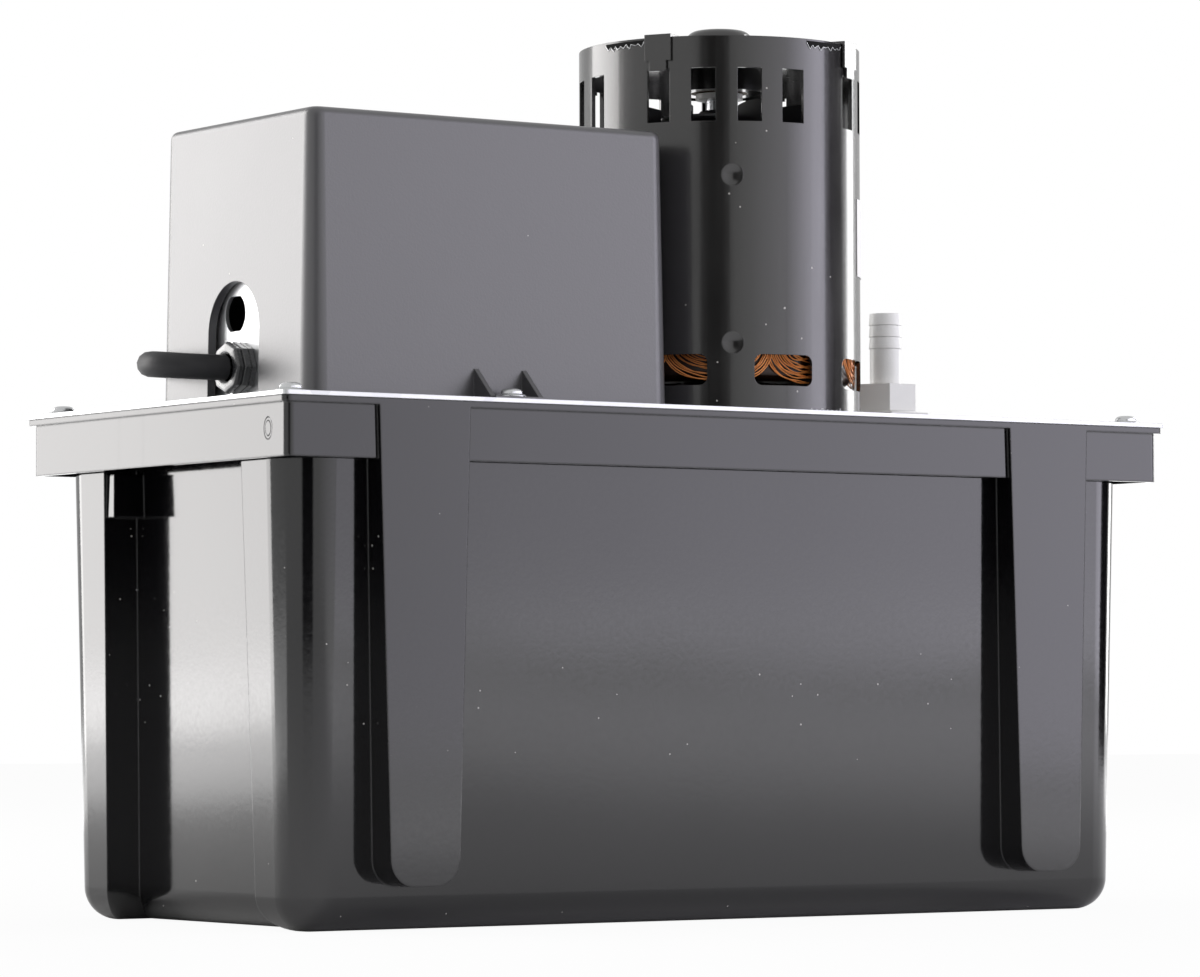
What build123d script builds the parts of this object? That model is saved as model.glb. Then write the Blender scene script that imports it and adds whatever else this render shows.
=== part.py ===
"""Condensate pump: moulded tank, sheet-metal cover, open-frame motor, submerged pump, float switch and cord.

Frame: +Z up, +X towards the motor end, origin at the middle of the tank's bottom. Lengths in millimetres.
"""
from build123d import *
import math
import os

os.makedirs("parts", exist_ok=True)

# ---------------------------------------------------------------- driving sizes
# Running and seating clearances
RUNNING_GAP = 0.06
SLIDING_GAP = 0.09
SEAT_GAP = 0.1
FOLLOWER_GAP = 0.3

# Cover plate
PLATE_LENGTH = 305.0
PLATE_WIDTH = 146.0
PLATE_THICKNESS = 1.2
PLATE_CORNER_RADIUS = 1.5
SCREW_INSET_X = 7.5
SCREW_INSET_Y = 9.5

# Tank
TANK_HEIGHT = 143.0
TANK_WALL = 2.6
TANK_DRAFT = 1.4
TANK_CORNER_RADIUS = 14.0
TANK_BOTTOM_RADIUS = 9.5
LIP_THICKNESS = 1.8
LIP_INSET = 0.5
SKIRT_STEP = 1.4
SKIRT_DEPTH = 14.4
SKIRT_WALL = 2.0
LONG_WALL_SETBACK = 6.7
END_WALL_SETBACK = 6.1
END_RECESS_WIDTH = 0.5205 * PLATE_WIDTH
END_RECESS_DEPTH = 10.5
END_BOSS_THICKNESS = 3.7
END_BOSS_HEIGHT = 12.0
POST_SPACING = 216.0
POST_TOP_WIDTH = 29.0
POST_FOOT_WIDTH = 21.5
POST_FOOT_Z = 12.0
POST_FOOT_RADIUS = 7.5
SCREW_BOSS_RADIUS = 3.6

# Inlets
INLET_RADIUS = 14.3
INLET_INSET = 35.5
INLET_X = PLATE_LENGTH / 2 - INLET_INSET
INLET_SPACING = PLATE_WIDTH - 66.0
INLET_PLUG_RIM = 2.6
INLET_PLUG_HEIGHT = 2.4
INLET_PLUG_DEPTH = 9.0

# Switch cover
COVER_X = -65.65
COVER_LENGTH = 120.7
COVER_WIDTH = 84.0
COVER_HEIGHT = 80.6
COVER_WALL = 2.5
COVER_DRAFT = 1.1
COVER_CORNER_RADIUS = 5.6
COVER_TOP_RADIUS = 2.5
CORD_OPENING_WIDTH = 28.0
CORD_OPENING_HEIGHT = 35.0
COVER_LUG_X = -64.0
COVER_LUG_WIDTH = 17.5
COVER_LUG_LENGTH = 11.0
COVER_LUG_THICKNESS = 2.0
GUSSET_THICKNESS = 1.5
GUSSET_HEIGHT = 8.0
GUSSET_LENGTH = 8.5

# Strain relief, its bracket and the cord's outlet
CORD_DIAMETER = 7.2
OUTLET_HEIGHT = 10.7
STRAIN_RELIEF_FACE_X = -128.5
STRAIN_RELIEF_WIDTH = 14.6
STRAIN_RELIEF_NECK_RADIUS = 6.0
STRAIN_RELIEF_TAIL_RADIUS = 5.6
STRAIN_RELIEF_TAIL_LENGTH = 7.0
BRACKET_SETBACK = 3.8
BRACKET_THICKNESS = 1.2
BRACKET_WIDTH = 34.0
BRACKET_HEIGHT = 42.0
BRACKET_FOOT = 18.0
SPARE_HOLE_DIAMETER = 11.2
SPARE_HOLE_FLATS = 9.8
SPARE_HOLE_Y = 4.8
SPARE_HOLE_HEIGHT = 26.3

# Motor and the outlet beside it
MOTOR_RADIUS = 41.8
MOTOR_COVER_GAP = 5.0
MOTOR_X = COVER_X + COVER_LENGTH / 2 + MOTOR_COVER_GAP + MOTOR_RADIUS
DISCHARGE_GAP = 20.2
DISCHARGE_X = MOTOR_X + MOTOR_RADIUS + DISCHARGE_GAP
MOTOR_HEIGHT = 110.8
MOTOR_SHELL = 1.2
VENT_GROUPS = 4
VENTS_PER_GROUP = 4
VENT_PITCH = 18.75
VENT_WIDTH = 7.2
VENT_LOW = 85.9
VENT_TALL = 15.6
VENT_AZIMUTH = -122.7
WINDOW_COUNT = 8
WINDOW_ARC = 26.0
WINDOW_LOW = 9.1
WINDOW_TALL = 9.0
WINDOW_AZIMUTH = -98.8
DIMPLE_RADIUS = 3.3
DIMPLE_DEPTH = 0.7
DIMPLE_AZIMUTH = -120.5
DIMPLE_HEIGHTS = (21.4, 70.2)
TAB_AZIMUTH = -150.5
TAB_HEAD_WIDTH = 8.4
TAB_STEM_WIDTH = 5.4
TAB_THICKNESS = 0.8
CAP_THICKNESS = 1.4
CAP_INSET = 3.0
BEARING_HOUSING_RADIUS = 13.0
BEARING_HOUSING_HEIGHT = 11.0
DOME_RADIUS = 10.0
DOME_RISE = 6.6
LABEL_LOW = 43.1
LABEL_TALL = 23.0
LABEL_START = -50.0
LABEL_ARC = 72.0
LABEL_THICKNESS = 0.2
LABEL_GLUE = 0.03

# Stator, rotor, shaft and fan
STACK_LOW = 24.0
STACK_TALL = 46.0
STATOR_BORE_RADIUS = 0.55 * MOTOR_RADIUS
AIR_GAP = 0.5
SLOT_COUNT = 12
SLOT_WIDTH = 6.0
SLOT_DEPTH = MOTOR_RADIUS - STATOR_BORE_RADIUS - 9.8
SLOT_NECK = 3.0
COIL_HEAD_TALL = 13.0
COIL_HEAD_RADIUS = MOTOR_RADIUS - 3.2
COIL_CLEARANCE = 0.4
SHAFT_RADIUS = 4.0
BEARING_RADIUS = 8.5
FAN_RADIUS = MOTOR_RADIUS - 8.8
FAN_HUB_RADIUS = 10.0
FAN_BLADES = 8
FAN_HEIGHT = 12.0
FAN_LOW = 86.5
FAN_BLADE_THICKNESS = 1.4

# Submerged pump
COLUMN_RADIUS = 12.0
COLUMN_WALL = 2.5
COLUMN_CUP_RADIUS = 18.5
COLUMN_CUP_DEPTH = 18.0
COLUMN_FLANGE_RADIUS = 34.0
COLUMN_FLANGE_THICKNESS = 3.0
COLUMN_SCREW_CIRCLE = 54.0
VOLUTE_RADIUS = 31.0
VOLUTE_TALL = 18.0
VOLUTE_WALL = 4.0
VOLUTE_LOW = 8.0
VOLUTE_SCREW_COUNT = 4
IMPELLER_RADIUS = 23.0
IMPELLER_BLADES = 6
IMPELLER_GAP = 1.2
IMPELLER_DISC = 1.6
INTAKE_RADIUS = 7.5
SCREEN_RADIUS = 13.0
SCREEN_THICKNESS = 1.5
ARM_RADIUS = 8.0
DUCT_RADIUS = 5.0
PIPE_RADIUS = 7.0
PIPE_WALL = 1.6
SLINGER_RADIUS = 13.5

# Check valve and barbed outlet
VALVE_RADIUS = 9.5
VALVE_CHAMBER_RADIUS = 6.2
VALVE_BELOW_PLATE = 21.0
VALVE_ABOVE_PLATE = 5.6
VALVE_SOCKET_DEPTH = 5.0
VALVE_SEAT_THICKNESS = 3.0
VALVE_SEAT_RADIUS = 3.6
VALVE_FLANGE_RADIUS = 12.5
VALVE_NUT_FLATS = 24.0
POPPET_RADIUS = 5.3
POPPET_THICKNESS = 2.0
POPPET_STEM_RADIUS = 1.6
POPPET_STEM_LENGTH = 7.0
VALVE_SPRING_RADIUS = 3.9
VALVE_SPRING_WIRE = 0.8
VALVE_SPRING_TURNS = 6
OUTLET_HEX_FLATS = 17.0
OUTLET_HEX_TALL = 8.2
OUTLET_SPIGOT = 4.0
BARB_RADIUS = 4.75
BARB_BORE_RADIUS = 3.0
BARB_LENGTH = 21.7
BARB_PLAIN_LENGTH = 11.0
BARB_RINGS = 3
BARB_STEP = 0.25

# Float and switches
FLOAT_X = -72.0
FLOAT_RADIUS = 27.0
FLOAT_TALL = 44.0
FLOAT_LOW = 22.0
FLOAT_TRAVEL = 24.0
FLOAT_ROD_RADIUS = 2.0
ROD_CLIP_RADIUS = 4.5
ROD_CLIP_TALL = 3.0
ROD_HEAD_RADIUS = 3.8
ROD_HEAD_TALL = 9.0
GUIDE_RADIUS = 6.0
GUIDE_FLANGE_RADIUS = 9.0
GUIDE_DEPTH = 6.0
DRIVE_PIN_RADIUS = 1.5
ROCKER_ARM = 40.0
ROCKER_ARM_WIDTH = 9.0
ROCKER_CHEEK = 1.5
ROCKER_CHEEK_GAP = 0.7
ROCKER_SLOT_CLEARANCE = 0.4
PIVOT_HEIGHT = 30.8
PIVOT_RADIUS = 2.0
CAM_RADIUS = 9.0
CAM_THROW = 2.0
CAM_WIDTH = 21.0
SWITCH_LENGTH = 28.0
SWITCH_WIDTH = 9.0
SWITCH_TALL = 16.4
SWITCH_SPACING = 14.0
PLUNGER_RADIUS = 2.0
PLUNGER_LENGTH = 7.0
PLUNGER_SHOW = 2.6
SWITCH_SCREW_SPACING = 20.0
SWITCH_SCREW_RADIUS = 1.5
SWITCH_BRACKET_LENGTH = 36.0
SWITCH_BRACKET_FOOT = 9.0

# Screws
SCREW_RADIUS = 1.7
SCREW_HEAD_RADIUS = 3.9
SCREW_HEAD_TALL = 2.7

# ---------------------------------------------------------------- levels and places worked out from them
PLATE_TOP = TANK_HEIGHT + PLATE_THICKNESS
LIP_LENGTH = PLATE_LENGTH - 2 * LIP_INSET
LIP_WIDTH = PLATE_WIDTH - 2 * LIP_INSET
SKIRT_LENGTH = LIP_LENGTH - 2 * SKIRT_STEP
SKIRT_WIDTH = LIP_WIDTH - 2 * SKIRT_STEP
LIP_BOTTOM = TANK_HEIGHT - LIP_THICKNESS
SKIRT_BOTTOM = LIP_BOTTOM - SKIRT_DEPTH
TANK_TOP_LENGTH = LIP_LENGTH - 2 * END_WALL_SETBACK
TANK_TOP_WIDTH = LIP_WIDTH - 2 * LONG_WALL_SETBACK
DRAFT_SLOPE = math.tan(math.radians(TANK_DRAFT))
MOTOR_LOW = PLATE_TOP
MOTOR_TOP = MOTOR_LOW + MOTOR_HEIGHT
OUTLET_Z = PLATE_TOP + OUTLET_HEIGHT
COVER_LEFT = COVER_X - COVER_LENGTH / 2
COVER_RIGHT = COVER_X + COVER_LENGTH / 2
BRACKET_X = COVER_LEFT + BRACKET_SETBACK
PIVOT_X = FLOAT_X + ROCKER_ARM
PIVOT_Z = PLATE_TOP + PIVOT_HEIGHT
ROCKER_HALF_ANGLE = math.degrees(math.atan(FLOAT_TRAVEL / 2 / ROCKER_ARM))
CORNER_SCREWS = [
    (sx * (PLATE_LENGTH / 2 - SCREW_INSET_X), sy * (PLATE_WIDTH / 2 - SCREW_INSET_Y))
    for sx in (-1, 1)
    for sy in (-1, 1)
]
COVER_LUG_SCREW_Y = COVER_WIDTH / 2 + COVER_LUG_LENGTH / 2
MOTOR_SCREWS = [
    (MOTOR_X + COLUMN_SCREW_CIRCLE / 2 * math.cos(a), COLUMN_SCREW_CIRCLE / 2 * math.sin(a))
    for a in (math.radians(45 + 90 * k) for k in range(4))
]
BRACKET_SCREW_X = BRACKET_X + BRACKET_THICKNESS + BRACKET_FOOT * 0.6
BRACKET_SCREWS = [(BRACKET_SCREW_X, side * BRACKET_WIDTH * 0.27) for side in (-1, 1)]
SWITCH_BRACKET_Y = CAM_WIDTH / 2 + 3.5
SWITCH_BRACKET_SCREW_Y = SWITCH_BRACKET_Y + BRACKET_THICKNESS + SWITCH_BRACKET_FOOT * 0.55
SWITCH_BRACKET_SCREWS = [
    (PIVOT_X + sx * SWITCH_BRACKET_LENGTH * 0.28, sy * SWITCH_BRACKET_SCREW_Y)
    for sx in (-1, 1)
    for sy in (-1, 1)
]


# ---------------------------------------------------------------- helpers
def rod(x, y, low, high, radius):
    """A vertical cylinder between two heights."""
    return Pos(x, y, (low + high) / 2) * Cylinder(radius, high - low)


def ring(x, y, low, high, outer, inner):
    """A vertical tube between two heights."""
    return rod(x, y, low, high, outer) - rod(x, y, low - 1, high + 1, inner)


def block(x_span, y_span, z_span):
    """A box between two corners given as spans."""
    size = [span[1] - span[0] for span in (x_span, y_span, z_span)]
    middle = [(span[1] + span[0]) / 2 for span in (x_span, y_span, z_span)]
    return Pos(*middle) * Box(*size)


def crossbar(x, z, y_span, radius):
    """A cylinder along Y."""
    turned = Rot(90, 0, 0) * Cylinder(radius, y_span[1] - y_span[0])
    return Pos(x, (y_span[0] + y_span[1]) / 2, z) * turned


def lengthbar(y, z, x_span, radius):
    """A cylinder along X."""
    turned = Rot(0, 90, 0) * Cylinder(radius, x_span[1] - x_span[0])
    return Pos((x_span[0] + x_span[1]) / 2, y, z) * turned


def hex_bar(x, y, low, high, flats):
    """A vertical hexagonal bar, given its width across flats."""
    profile = Pos(x, y, low) * RegularPolygon(flats / math.sqrt(3), 6)
    return extrude(profile, high - low)


def slab(length, width, radius, low, high):
    """A rounded rectangle, centred on the origin, between two heights."""
    return extrude(Pos(0, 0, low) * RectangleRounded(length, width, radius), high - low)


def drilled(body, places, low, high, radius):
    """The body with a vertical hole at each place."""
    for x, y in places:
        body -= rod(x, y, low, high, radius)
    return body


def screw(x, y, head_low, length, radius=SCREW_RADIUS, head=SCREW_HEAD_RADIUS, up=1):
    """A pan-head screw whose head starts at a height, with its shank pointing away from the head."""
    top = rod(x, y, 0, SCREW_HEAD_TALL, head)
    top = fillet(top.edges().group_by(Axis.Z)[-1], SCREW_HEAD_TALL * 0.45)
    shank = rod(x, y, -length, 0, radius)
    whole = top + shank
    if up < 0:
        whole = mirror(whole, Plane.XY)
    return Pos(0, 0, head_low) * whole


def save(name, *shapes):
    """Write one sub-part: every solid of the given shapes."""
    solids = [solid for shape in shapes for solid in shape.solids()]
    body = solids[0] if len(solids) == 1 else Compound(solids)
    export_step(body, f"parts/{name}.step")


# ---------------------------------------------------------------- tank
def tank_profile(half_length, half_width, radius, recess_half):
    """The tank's plan: a rounded rectangle with a recess in the middle of each end."""
    plan = RectangleRounded(2 * half_length, 2 * half_width, radius)
    for side in (-1, 1):
        plan -= Pos(side * half_length, 0) * Rectangle(2 * END_RECESS_DEPTH, 2 * recess_half)
    return plan


def tank_body(inset, low, high, bottom_radius):
    """The drafted tank volume, moved in by an inset."""
    shrink = (LIP_BOTTOM - low) * DRAFT_SLOPE + inset
    profile = tank_profile(
        TANK_TOP_LENGTH / 2 - shrink,
        TANK_TOP_WIDTH / 2 - shrink,
        TANK_CORNER_RADIUS - shrink,
        END_RECESS_WIDTH / 2 + shrink,
    )
    body = extrude(Pos(0, 0, low) * profile, high - low, taper=-TANK_DRAFT)
    return fillet(body.edges().group_by(Axis.Z)[0], bottom_radius)


def tank_posts(inset, reach, high):
    """The four hollow posts on the long sides, from the wall out to the lip's edge."""
    bodies = []
    half_top = POST_TOP_WIDTH / 2 - inset
    half_foot = POST_FOOT_WIDTH / 2 - inset
    foot = POST_FOOT_Z + inset
    corners = [(-half_top, high), (-half_foot, foot), (half_foot, foot), (half_top, high)]
    outline = Polygon(*corners, align=None)
    outline = fillet(outline.vertices().group_by(Axis.Y)[0], POST_FOOT_RADIUS - inset)
    face = LIP_WIDTH / 2 - inset
    for sx in (-1, 1):
        for sy in (-1, 1):
            plane = Plane((sx * POST_SPACING / 2, sy * reach, 0), x_dir=(-sy, 0, 0), z_dir=(0, sy, 0))
            bodies.append(extrude(plane * outline, face - reach))
    return bodies


def make_tank():
    """The moulded tank with its lip, skirt, posts, screw bosses and recessed ends."""
    body = tank_body(0, 0, LIP_BOTTOM, TANK_BOTTOM_RADIUS)
    wall_foot = TANK_TOP_WIDTH / 2 - LIP_BOTTOM * DRAFT_SLOPE - TANK_WALL / 2
    for post in tank_posts(0, wall_foot, LIP_BOTTOM):
        body += post
    body += slab(LIP_LENGTH, LIP_WIDTH, 2, LIP_BOTTOM, TANK_HEIGHT)
    skirt = slab(SKIRT_LENGTH, SKIRT_WIDTH, 2, SKIRT_BOTTOM, LIP_BOTTOM)
    skirt -= slab(SKIRT_LENGTH - 2 * SKIRT_WALL, SKIRT_WIDTH - 2 * SKIRT_WALL, 1, SKIRT_BOTTOM - 1, LIP_BOTTOM)
    body += skirt
    for x, y in CORNER_SCREWS:
        body += rod(x, y, SKIRT_BOTTOM + 1, LIP_BOTTOM + 1, SCREW_BOSS_RADIUS)
    column_face = TANK_TOP_LENGTH / 2 - SKIRT_DEPTH * DRAFT_SLOPE
    boss_top = SKIRT_BOTTOM - 0.8
    for side in (-1, 1):
        x_span = sorted((side * (column_face - 1), side * (column_face - END_RECESS_DEPTH - 1)))
        boss_face = END_RECESS_WIDTH / 2 - END_BOSS_THICKNESS
        y_span = sorted((-side * (END_RECESS_WIDTH / 2 + 2), -side * boss_face))
        body += block(x_span, y_span, (boss_top - END_BOSS_HEIGHT, boss_top))
    inner = tank_body(TANK_WALL, TANK_WALL, TANK_HEIGHT + 1, TANK_BOTTOM_RADIUS - TANK_WALL)
    body -= inner
    hollow_reach = wall_foot - TANK_WALL
    for post in tank_posts(TANK_WALL, hollow_reach, TANK_HEIGHT - LIP_THICKNESS):
        body -= post
    return drilled(body, CORNER_SCREWS, SKIRT_BOTTOM + 2, TANK_HEIGHT + 1, SCREW_RADIUS + SEAT_GAP)


# ---------------------------------------------------------------- cover plate, its screws and the inlet plug
def make_cover_plate():
    """The sheet-metal plate with its inlet, outlet, rod, shaft and screw holes."""
    low, high = TANK_HEIGHT - 1, PLATE_TOP + 1
    plate = slab(PLATE_LENGTH, PLATE_WIDTH, PLATE_CORNER_RADIUS, TANK_HEIGHT, PLATE_TOP)
    inlets = [(INLET_X, side * INLET_SPACING / 2) for side in (-1, 1)]
    plate = drilled(plate, inlets, low, high, INLET_RADIUS)
    plate = drilled(plate, [(DISCHARGE_X, 0)], low, high, VALVE_RADIUS + SEAT_GAP)
    plate = drilled(plate, [(FLOAT_X, 0)], low, high, GUIDE_RADIUS + SEAT_GAP)
    plate = drilled(plate, [(MOTOR_X, 0)], low, high, COLUMN_CUP_RADIUS - COLUMN_WALL)
    lug_screws = [(COVER_LUG_X, side * COVER_LUG_SCREW_Y) for side in (-1, 1)]
    screws = CORNER_SCREWS + lug_screws + MOTOR_SCREWS + BRACKET_SCREWS + SWITCH_BRACKET_SCREWS
    return drilled(plate, screws, low, high, SCREW_RADIUS + SEAT_GAP)


def make_inlet_plug():
    """The press-in plug that closes the unused inlet."""
    y = INLET_SPACING / 2
    barrel = INLET_RADIUS - SEAT_GAP
    plug = rod(INLET_X, y, PLATE_TOP, PLATE_TOP + INLET_PLUG_HEIGHT, INLET_RADIUS + INLET_PLUG_RIM)
    plug = fillet(plug.edges().group_by(Axis.Z)[-1], INLET_PLUG_HEIGHT * 0.4)
    plug += rod(INLET_X, y, PLATE_TOP - INLET_PLUG_DEPTH, PLATE_TOP, barrel)
    return plug - rod(INLET_X, y, PLATE_TOP - INLET_PLUG_DEPTH - 1, PLATE_TOP - 1, barrel - 2)


# ---------------------------------------------------------------- switch cover and what is inside it
def cover_shell(inset, low, height, radius):
    """The drafted switch cover volume, moved in by an inset."""
    length = COVER_LENGTH - 2 * inset
    width = COVER_WIDTH - 2 * inset
    profile = Pos(COVER_X, 0, low) * RectangleRounded(length, width, radius)
    body = extrude(profile, height, taper=COVER_DRAFT)
    return fillet(body.edges().group_by(Axis.Z)[-1], max(COVER_TOP_RADIUS - inset, 0.4))


def make_switch_cover():
    """The moulded box over the switches, with the arched cord opening and two screw lugs."""
    cover = cover_shell(0, PLATE_TOP, COVER_HEIGHT, COVER_CORNER_RADIUS)
    wall_line = COVER_WIDTH / 2 - 1
    for side in (-1, 1):
        foot_y = sorted((side * wall_line, side * (COVER_WIDTH / 2 + COVER_LUG_LENGTH)))
        half = COVER_LUG_WIDTH / 2
        foot_x = (COVER_LUG_X - half, COVER_LUG_X + half)
        cover += block(foot_x, foot_y, (PLATE_TOP, PLATE_TOP + COVER_LUG_THICKNESS))
        for gusset_side in (-1, 1):
            edge = COVER_LUG_X + gusset_side * (half - GUSSET_THICKNESS / 2) - GUSSET_THICKNESS / 2
            plane = Plane((edge, side * wall_line, PLATE_TOP), x_dir=(0, side, 0), z_dir=(side, 0, 0))
            reach = GUSSET_LENGTH + 1
            top = GUSSET_HEIGHT + 2
            corners = [(0, 0), (reach, 0), (reach, COVER_LUG_THICKNESS), (1, top), (0, top)]
            cover += extrude(plane * Polygon(*corners, align=None), side * GUSSET_THICKNESS)
    cover -= cover_shell(COVER_WALL, PLATE_TOP, COVER_HEIGHT - COVER_WALL, COVER_CORNER_RADIUS - COVER_WALL)
    arch = CORD_OPENING_WIDTH / 2
    spring_line = PLATE_TOP + CORD_OPENING_HEIGHT - arch
    opening_x = (COVER_LEFT - 5, COVER_LEFT + COVER_WALL + 4)
    cover -= block(opening_x, (-arch, arch), (PLATE_TOP - 1, spring_line))
    cover -= lengthbar(0, spring_line, opening_x, arch)
    screws = [(COVER_LUG_X, side * COVER_LUG_SCREW_Y) for side in (-1, 1)]
    lug_top = PLATE_TOP + COVER_LUG_THICKNESS
    cover = drilled(cover, screws, PLATE_TOP - 1, lug_top + 1, SCREW_RADIUS + SEAT_GAP)
    return cover - lengthbar(LEAD_Y, LEAD_Z, (COVER_RIGHT - COVER_WALL - 4, COVER_RIGHT + 3), GROMMET_NECK_RADIUS)


def make_wiring_bracket():
    """The bent steel bracket behind the cord opening, with the strain relief's hole and a spare one."""
    far = BRACKET_X + BRACKET_THICKNESS
    half = BRACKET_WIDTH / 2
    upright = block((BRACKET_X, far), (-half, half), (PLATE_TOP, PLATE_TOP + BRACKET_HEIGHT))
    upright = fillet(upright.edges().filter_by(Axis.X).group_by(Axis.Z)[-1], 6)
    foot_z = (PLATE_TOP, PLATE_TOP + BRACKET_THICKNESS)
    bracket = upright + block((BRACKET_X, far + BRACKET_FOOT), (-half, half), foot_z)
    through = (BRACKET_X - 1, far + 1)
    bracket -= lengthbar(0, OUTLET_Z, through, STRAIN_RELIEF_NECK_RADIUS + SEAT_GAP)
    spare_z = PLATE_TOP + SPARE_HOLE_HEIGHT
    flats = SPARE_HOLE_FLATS / 2
    spare = lengthbar(SPARE_HOLE_Y, spare_z, through, SPARE_HOLE_DIAMETER / 2)
    spare &= block(through, (SPARE_HOLE_Y - 20, SPARE_HOLE_Y + 20), (spare_z - flats, spare_z + flats))
    bracket -= spare
    return drilled(bracket, BRACKET_SCREWS, PLATE_TOP - 1, PLATE_TOP + 3, SCREW_RADIUS + SEAT_GAP)


def make_strain_relief():
    """The clamp bushing: an octagonal head outside the bracket, a neck in its hole and a split tail inside."""
    back = BRACKET_X + BRACKET_THICKNESS
    plane = Plane((STRAIN_RELIEF_FACE_X, 0, OUTLET_Z), x_dir=(0, 1, 0), z_dir=(1, 0, 0))
    octagon = RegularPolygon(STRAIN_RELIEF_WIDTH / 2 / math.cos(math.pi / 8), 8, rotation=22.5)
    head = extrude(plane * octagon, BRACKET_X - STRAIN_RELIEF_FACE_X)
    head = fillet(head.edges().group_by(Axis.X)[0], 0.8)
    groove_x = (STRAIN_RELIEF_FACE_X + 2.2, STRAIN_RELIEF_FACE_X + 2.9)
    groove = lengthbar(0, OUTLET_Z, groove_x, STRAIN_RELIEF_WIDTH)
    head -= groove - lengthbar(0, OUTLET_Z, groove_x, STRAIN_RELIEF_WIDTH / 2 - 0.6)
    relief = head + lengthbar(0, OUTLET_Z, (BRACKET_X - 0.5, back + 0.5), STRAIN_RELIEF_NECK_RADIUS)
    relief += lengthbar(0, OUTLET_Z, (back, back + 2), STRAIN_RELIEF_NECK_RADIUS + 1)
    relief += lengthbar(0, OUTLET_Z, (back, back + STRAIN_RELIEF_TAIL_LENGTH), STRAIN_RELIEF_TAIL_RADIUS)
    return relief


def make_switch_bracket():
    """The inverted steel channel that carries the rocker's pivot and both switches."""
    half = SWITCH_BRACKET_LENGTH / 2
    x_span = (PIVOT_X - half, PIVOT_X + half)
    outer = SWITCH_BRACKET_Y + BRACKET_THICKNESS
    top = SWITCH_TOP + 2
    bracket = block(x_span, (-outer, outer), (top, top + BRACKET_THICKNESS))
    for side in (-1, 1):
        bracket += block(x_span, sorted((side * SWITCH_BRACKET_Y, side * outer)), (PLATE_TOP, top + 0.5))
        foot = sorted((side * SWITCH_BRACKET_Y, side * (outer + SWITCH_BRACKET_FOOT)))
        bracket += block(x_span, foot, (PLATE_TOP, PLATE_TOP + BRACKET_THICKNESS))
    bracket -= crossbar(PIVOT_X, PIVOT_Z, (-outer - 1, outer + 1), PIVOT_RADIUS + RUNNING_GAP)
    for x in SWITCH_SCREW_X:
        bracket -= crossbar(x, SWITCH_SCREW_Z, (-outer - 1, outer + 1), SWITCH_SCREW_RADIUS + SEAT_GAP)
    return drilled(bracket, SWITCH_BRACKET_SCREWS, PLATE_TOP - 1, PLATE_TOP + 3, SCREW_RADIUS + SEAT_GAP)


def headed_pin(x, z, radius):
    """A pin along Y through both bracket cheeks, with a head outside each of them."""
    outer = SWITCH_BRACKET_Y + BRACKET_THICKNESS
    pin = crossbar(x, z, (-outer - 1.5, outer + 1.5), radius)
    for side in (-1, 1):
        pin += crossbar(x, z, sorted((side * outer, side * (outer + 1.5))), radius + 1.3)
    return pin


def make_switch_body(y):
    """A snap switch body with a plunger bore below and two screw holes across."""
    half = SWITCH_LENGTH / 2
    body = block(
        (PLUNGER_X - half, PLUNGER_X + half),
        (y - SWITCH_WIDTH / 2, y + SWITCH_WIDTH / 2),
        (SWITCH_LOW, SWITCH_TOP),
    )
    body = fillet(body.edges().filter_by(Axis.Y), 1.2)
    body -= rod(PLUNGER_X, y, SWITCH_LOW - 1, PLUNGER_TOP + 2, PLUNGER_RADIUS + SLIDING_GAP)
    for x in SWITCH_SCREW_X:
        body -= crossbar(x, SWITCH_SCREW_Z, (y - SWITCH_WIDTH, y + SWITCH_WIDTH), SWITCH_SCREW_RADIUS + SEAT_GAP)
    return body


def make_terminals():
    """Blade terminals on the end of each switch."""
    end = PLUNGER_X - SWITCH_LENGTH / 2
    blades = []
    for y in SWITCH_YS:
        for level in (0.25, 0.6):
            z = SWITCH_LOW + SWITCH_TALL * level
            blades.append(block((end - 7, end), (y - 3, y + 3), (z - 0.4, z + 0.4)))
    return blades


def make_rocker():
    """The rocker: two slotted arms on a hub whose rim is an eccentric cam, at the float's rest height."""
    cam = crossbar(PIVOT_X - CAM_THROW, PIVOT_Z, (-CAM_WIDTH / 2, CAM_WIDTH / 2), CAM_RADIUS)
    rocker = cam
    inner = ROD_HEAD_RADIUS + ROCKER_CHEEK_GAP
    slot_near = ROCKER_ARM - 0.4
    slot_far = math.hypot(ROCKER_ARM, FLOAT_TRAVEL / 2) + 0.4
    slot_radius = DRIVE_PIN_RADIUS + ROCKER_SLOT_CLEARANCE
    tip = slot_far + slot_radius + 2
    half = ROCKER_ARM_WIDTH / 2
    for side in (-1, 1):
        span = sorted((side * inner, side * (inner + ROCKER_CHEEK)))
        cheek = block((PIVOT_X - tip + half, PIVOT_X), span, (PIVOT_Z - half, PIVOT_Z + half))
        cheek += crossbar(PIVOT_X - tip + half, PIVOT_Z, span, half)
        slot = block((PIVOT_X - slot_far, PIVOT_X - slot_near), span, (PIVOT_Z - slot_radius, PIVOT_Z + slot_radius))
        slot += crossbar(PIVOT_X - slot_far, PIVOT_Z, span, slot_radius)
        slot += crossbar(PIVOT_X - slot_near, PIVOT_Z, span, slot_radius)
        rocker += cheek - slot
    gap = (PIVOT_X - tip - 5, PIVOT_X - CAM_THROW - CAM_RADIUS + 2.5)
    rocker -= block(gap, (-inner, inner), (PIVOT_Z - 12, PIVOT_Z + 12))
    rocker -= crossbar(PIVOT_X, PIVOT_Z, (-CAM_WIDTH, CAM_WIDTH), PIVOT_RADIUS + RUNNING_GAP)
    centre = Pos(PIVOT_X, 0, PIVOT_Z)
    return centre * Rot(0, -ROCKER_HALF_ANGLE, 0) * centre.inverse() * rocker


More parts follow.
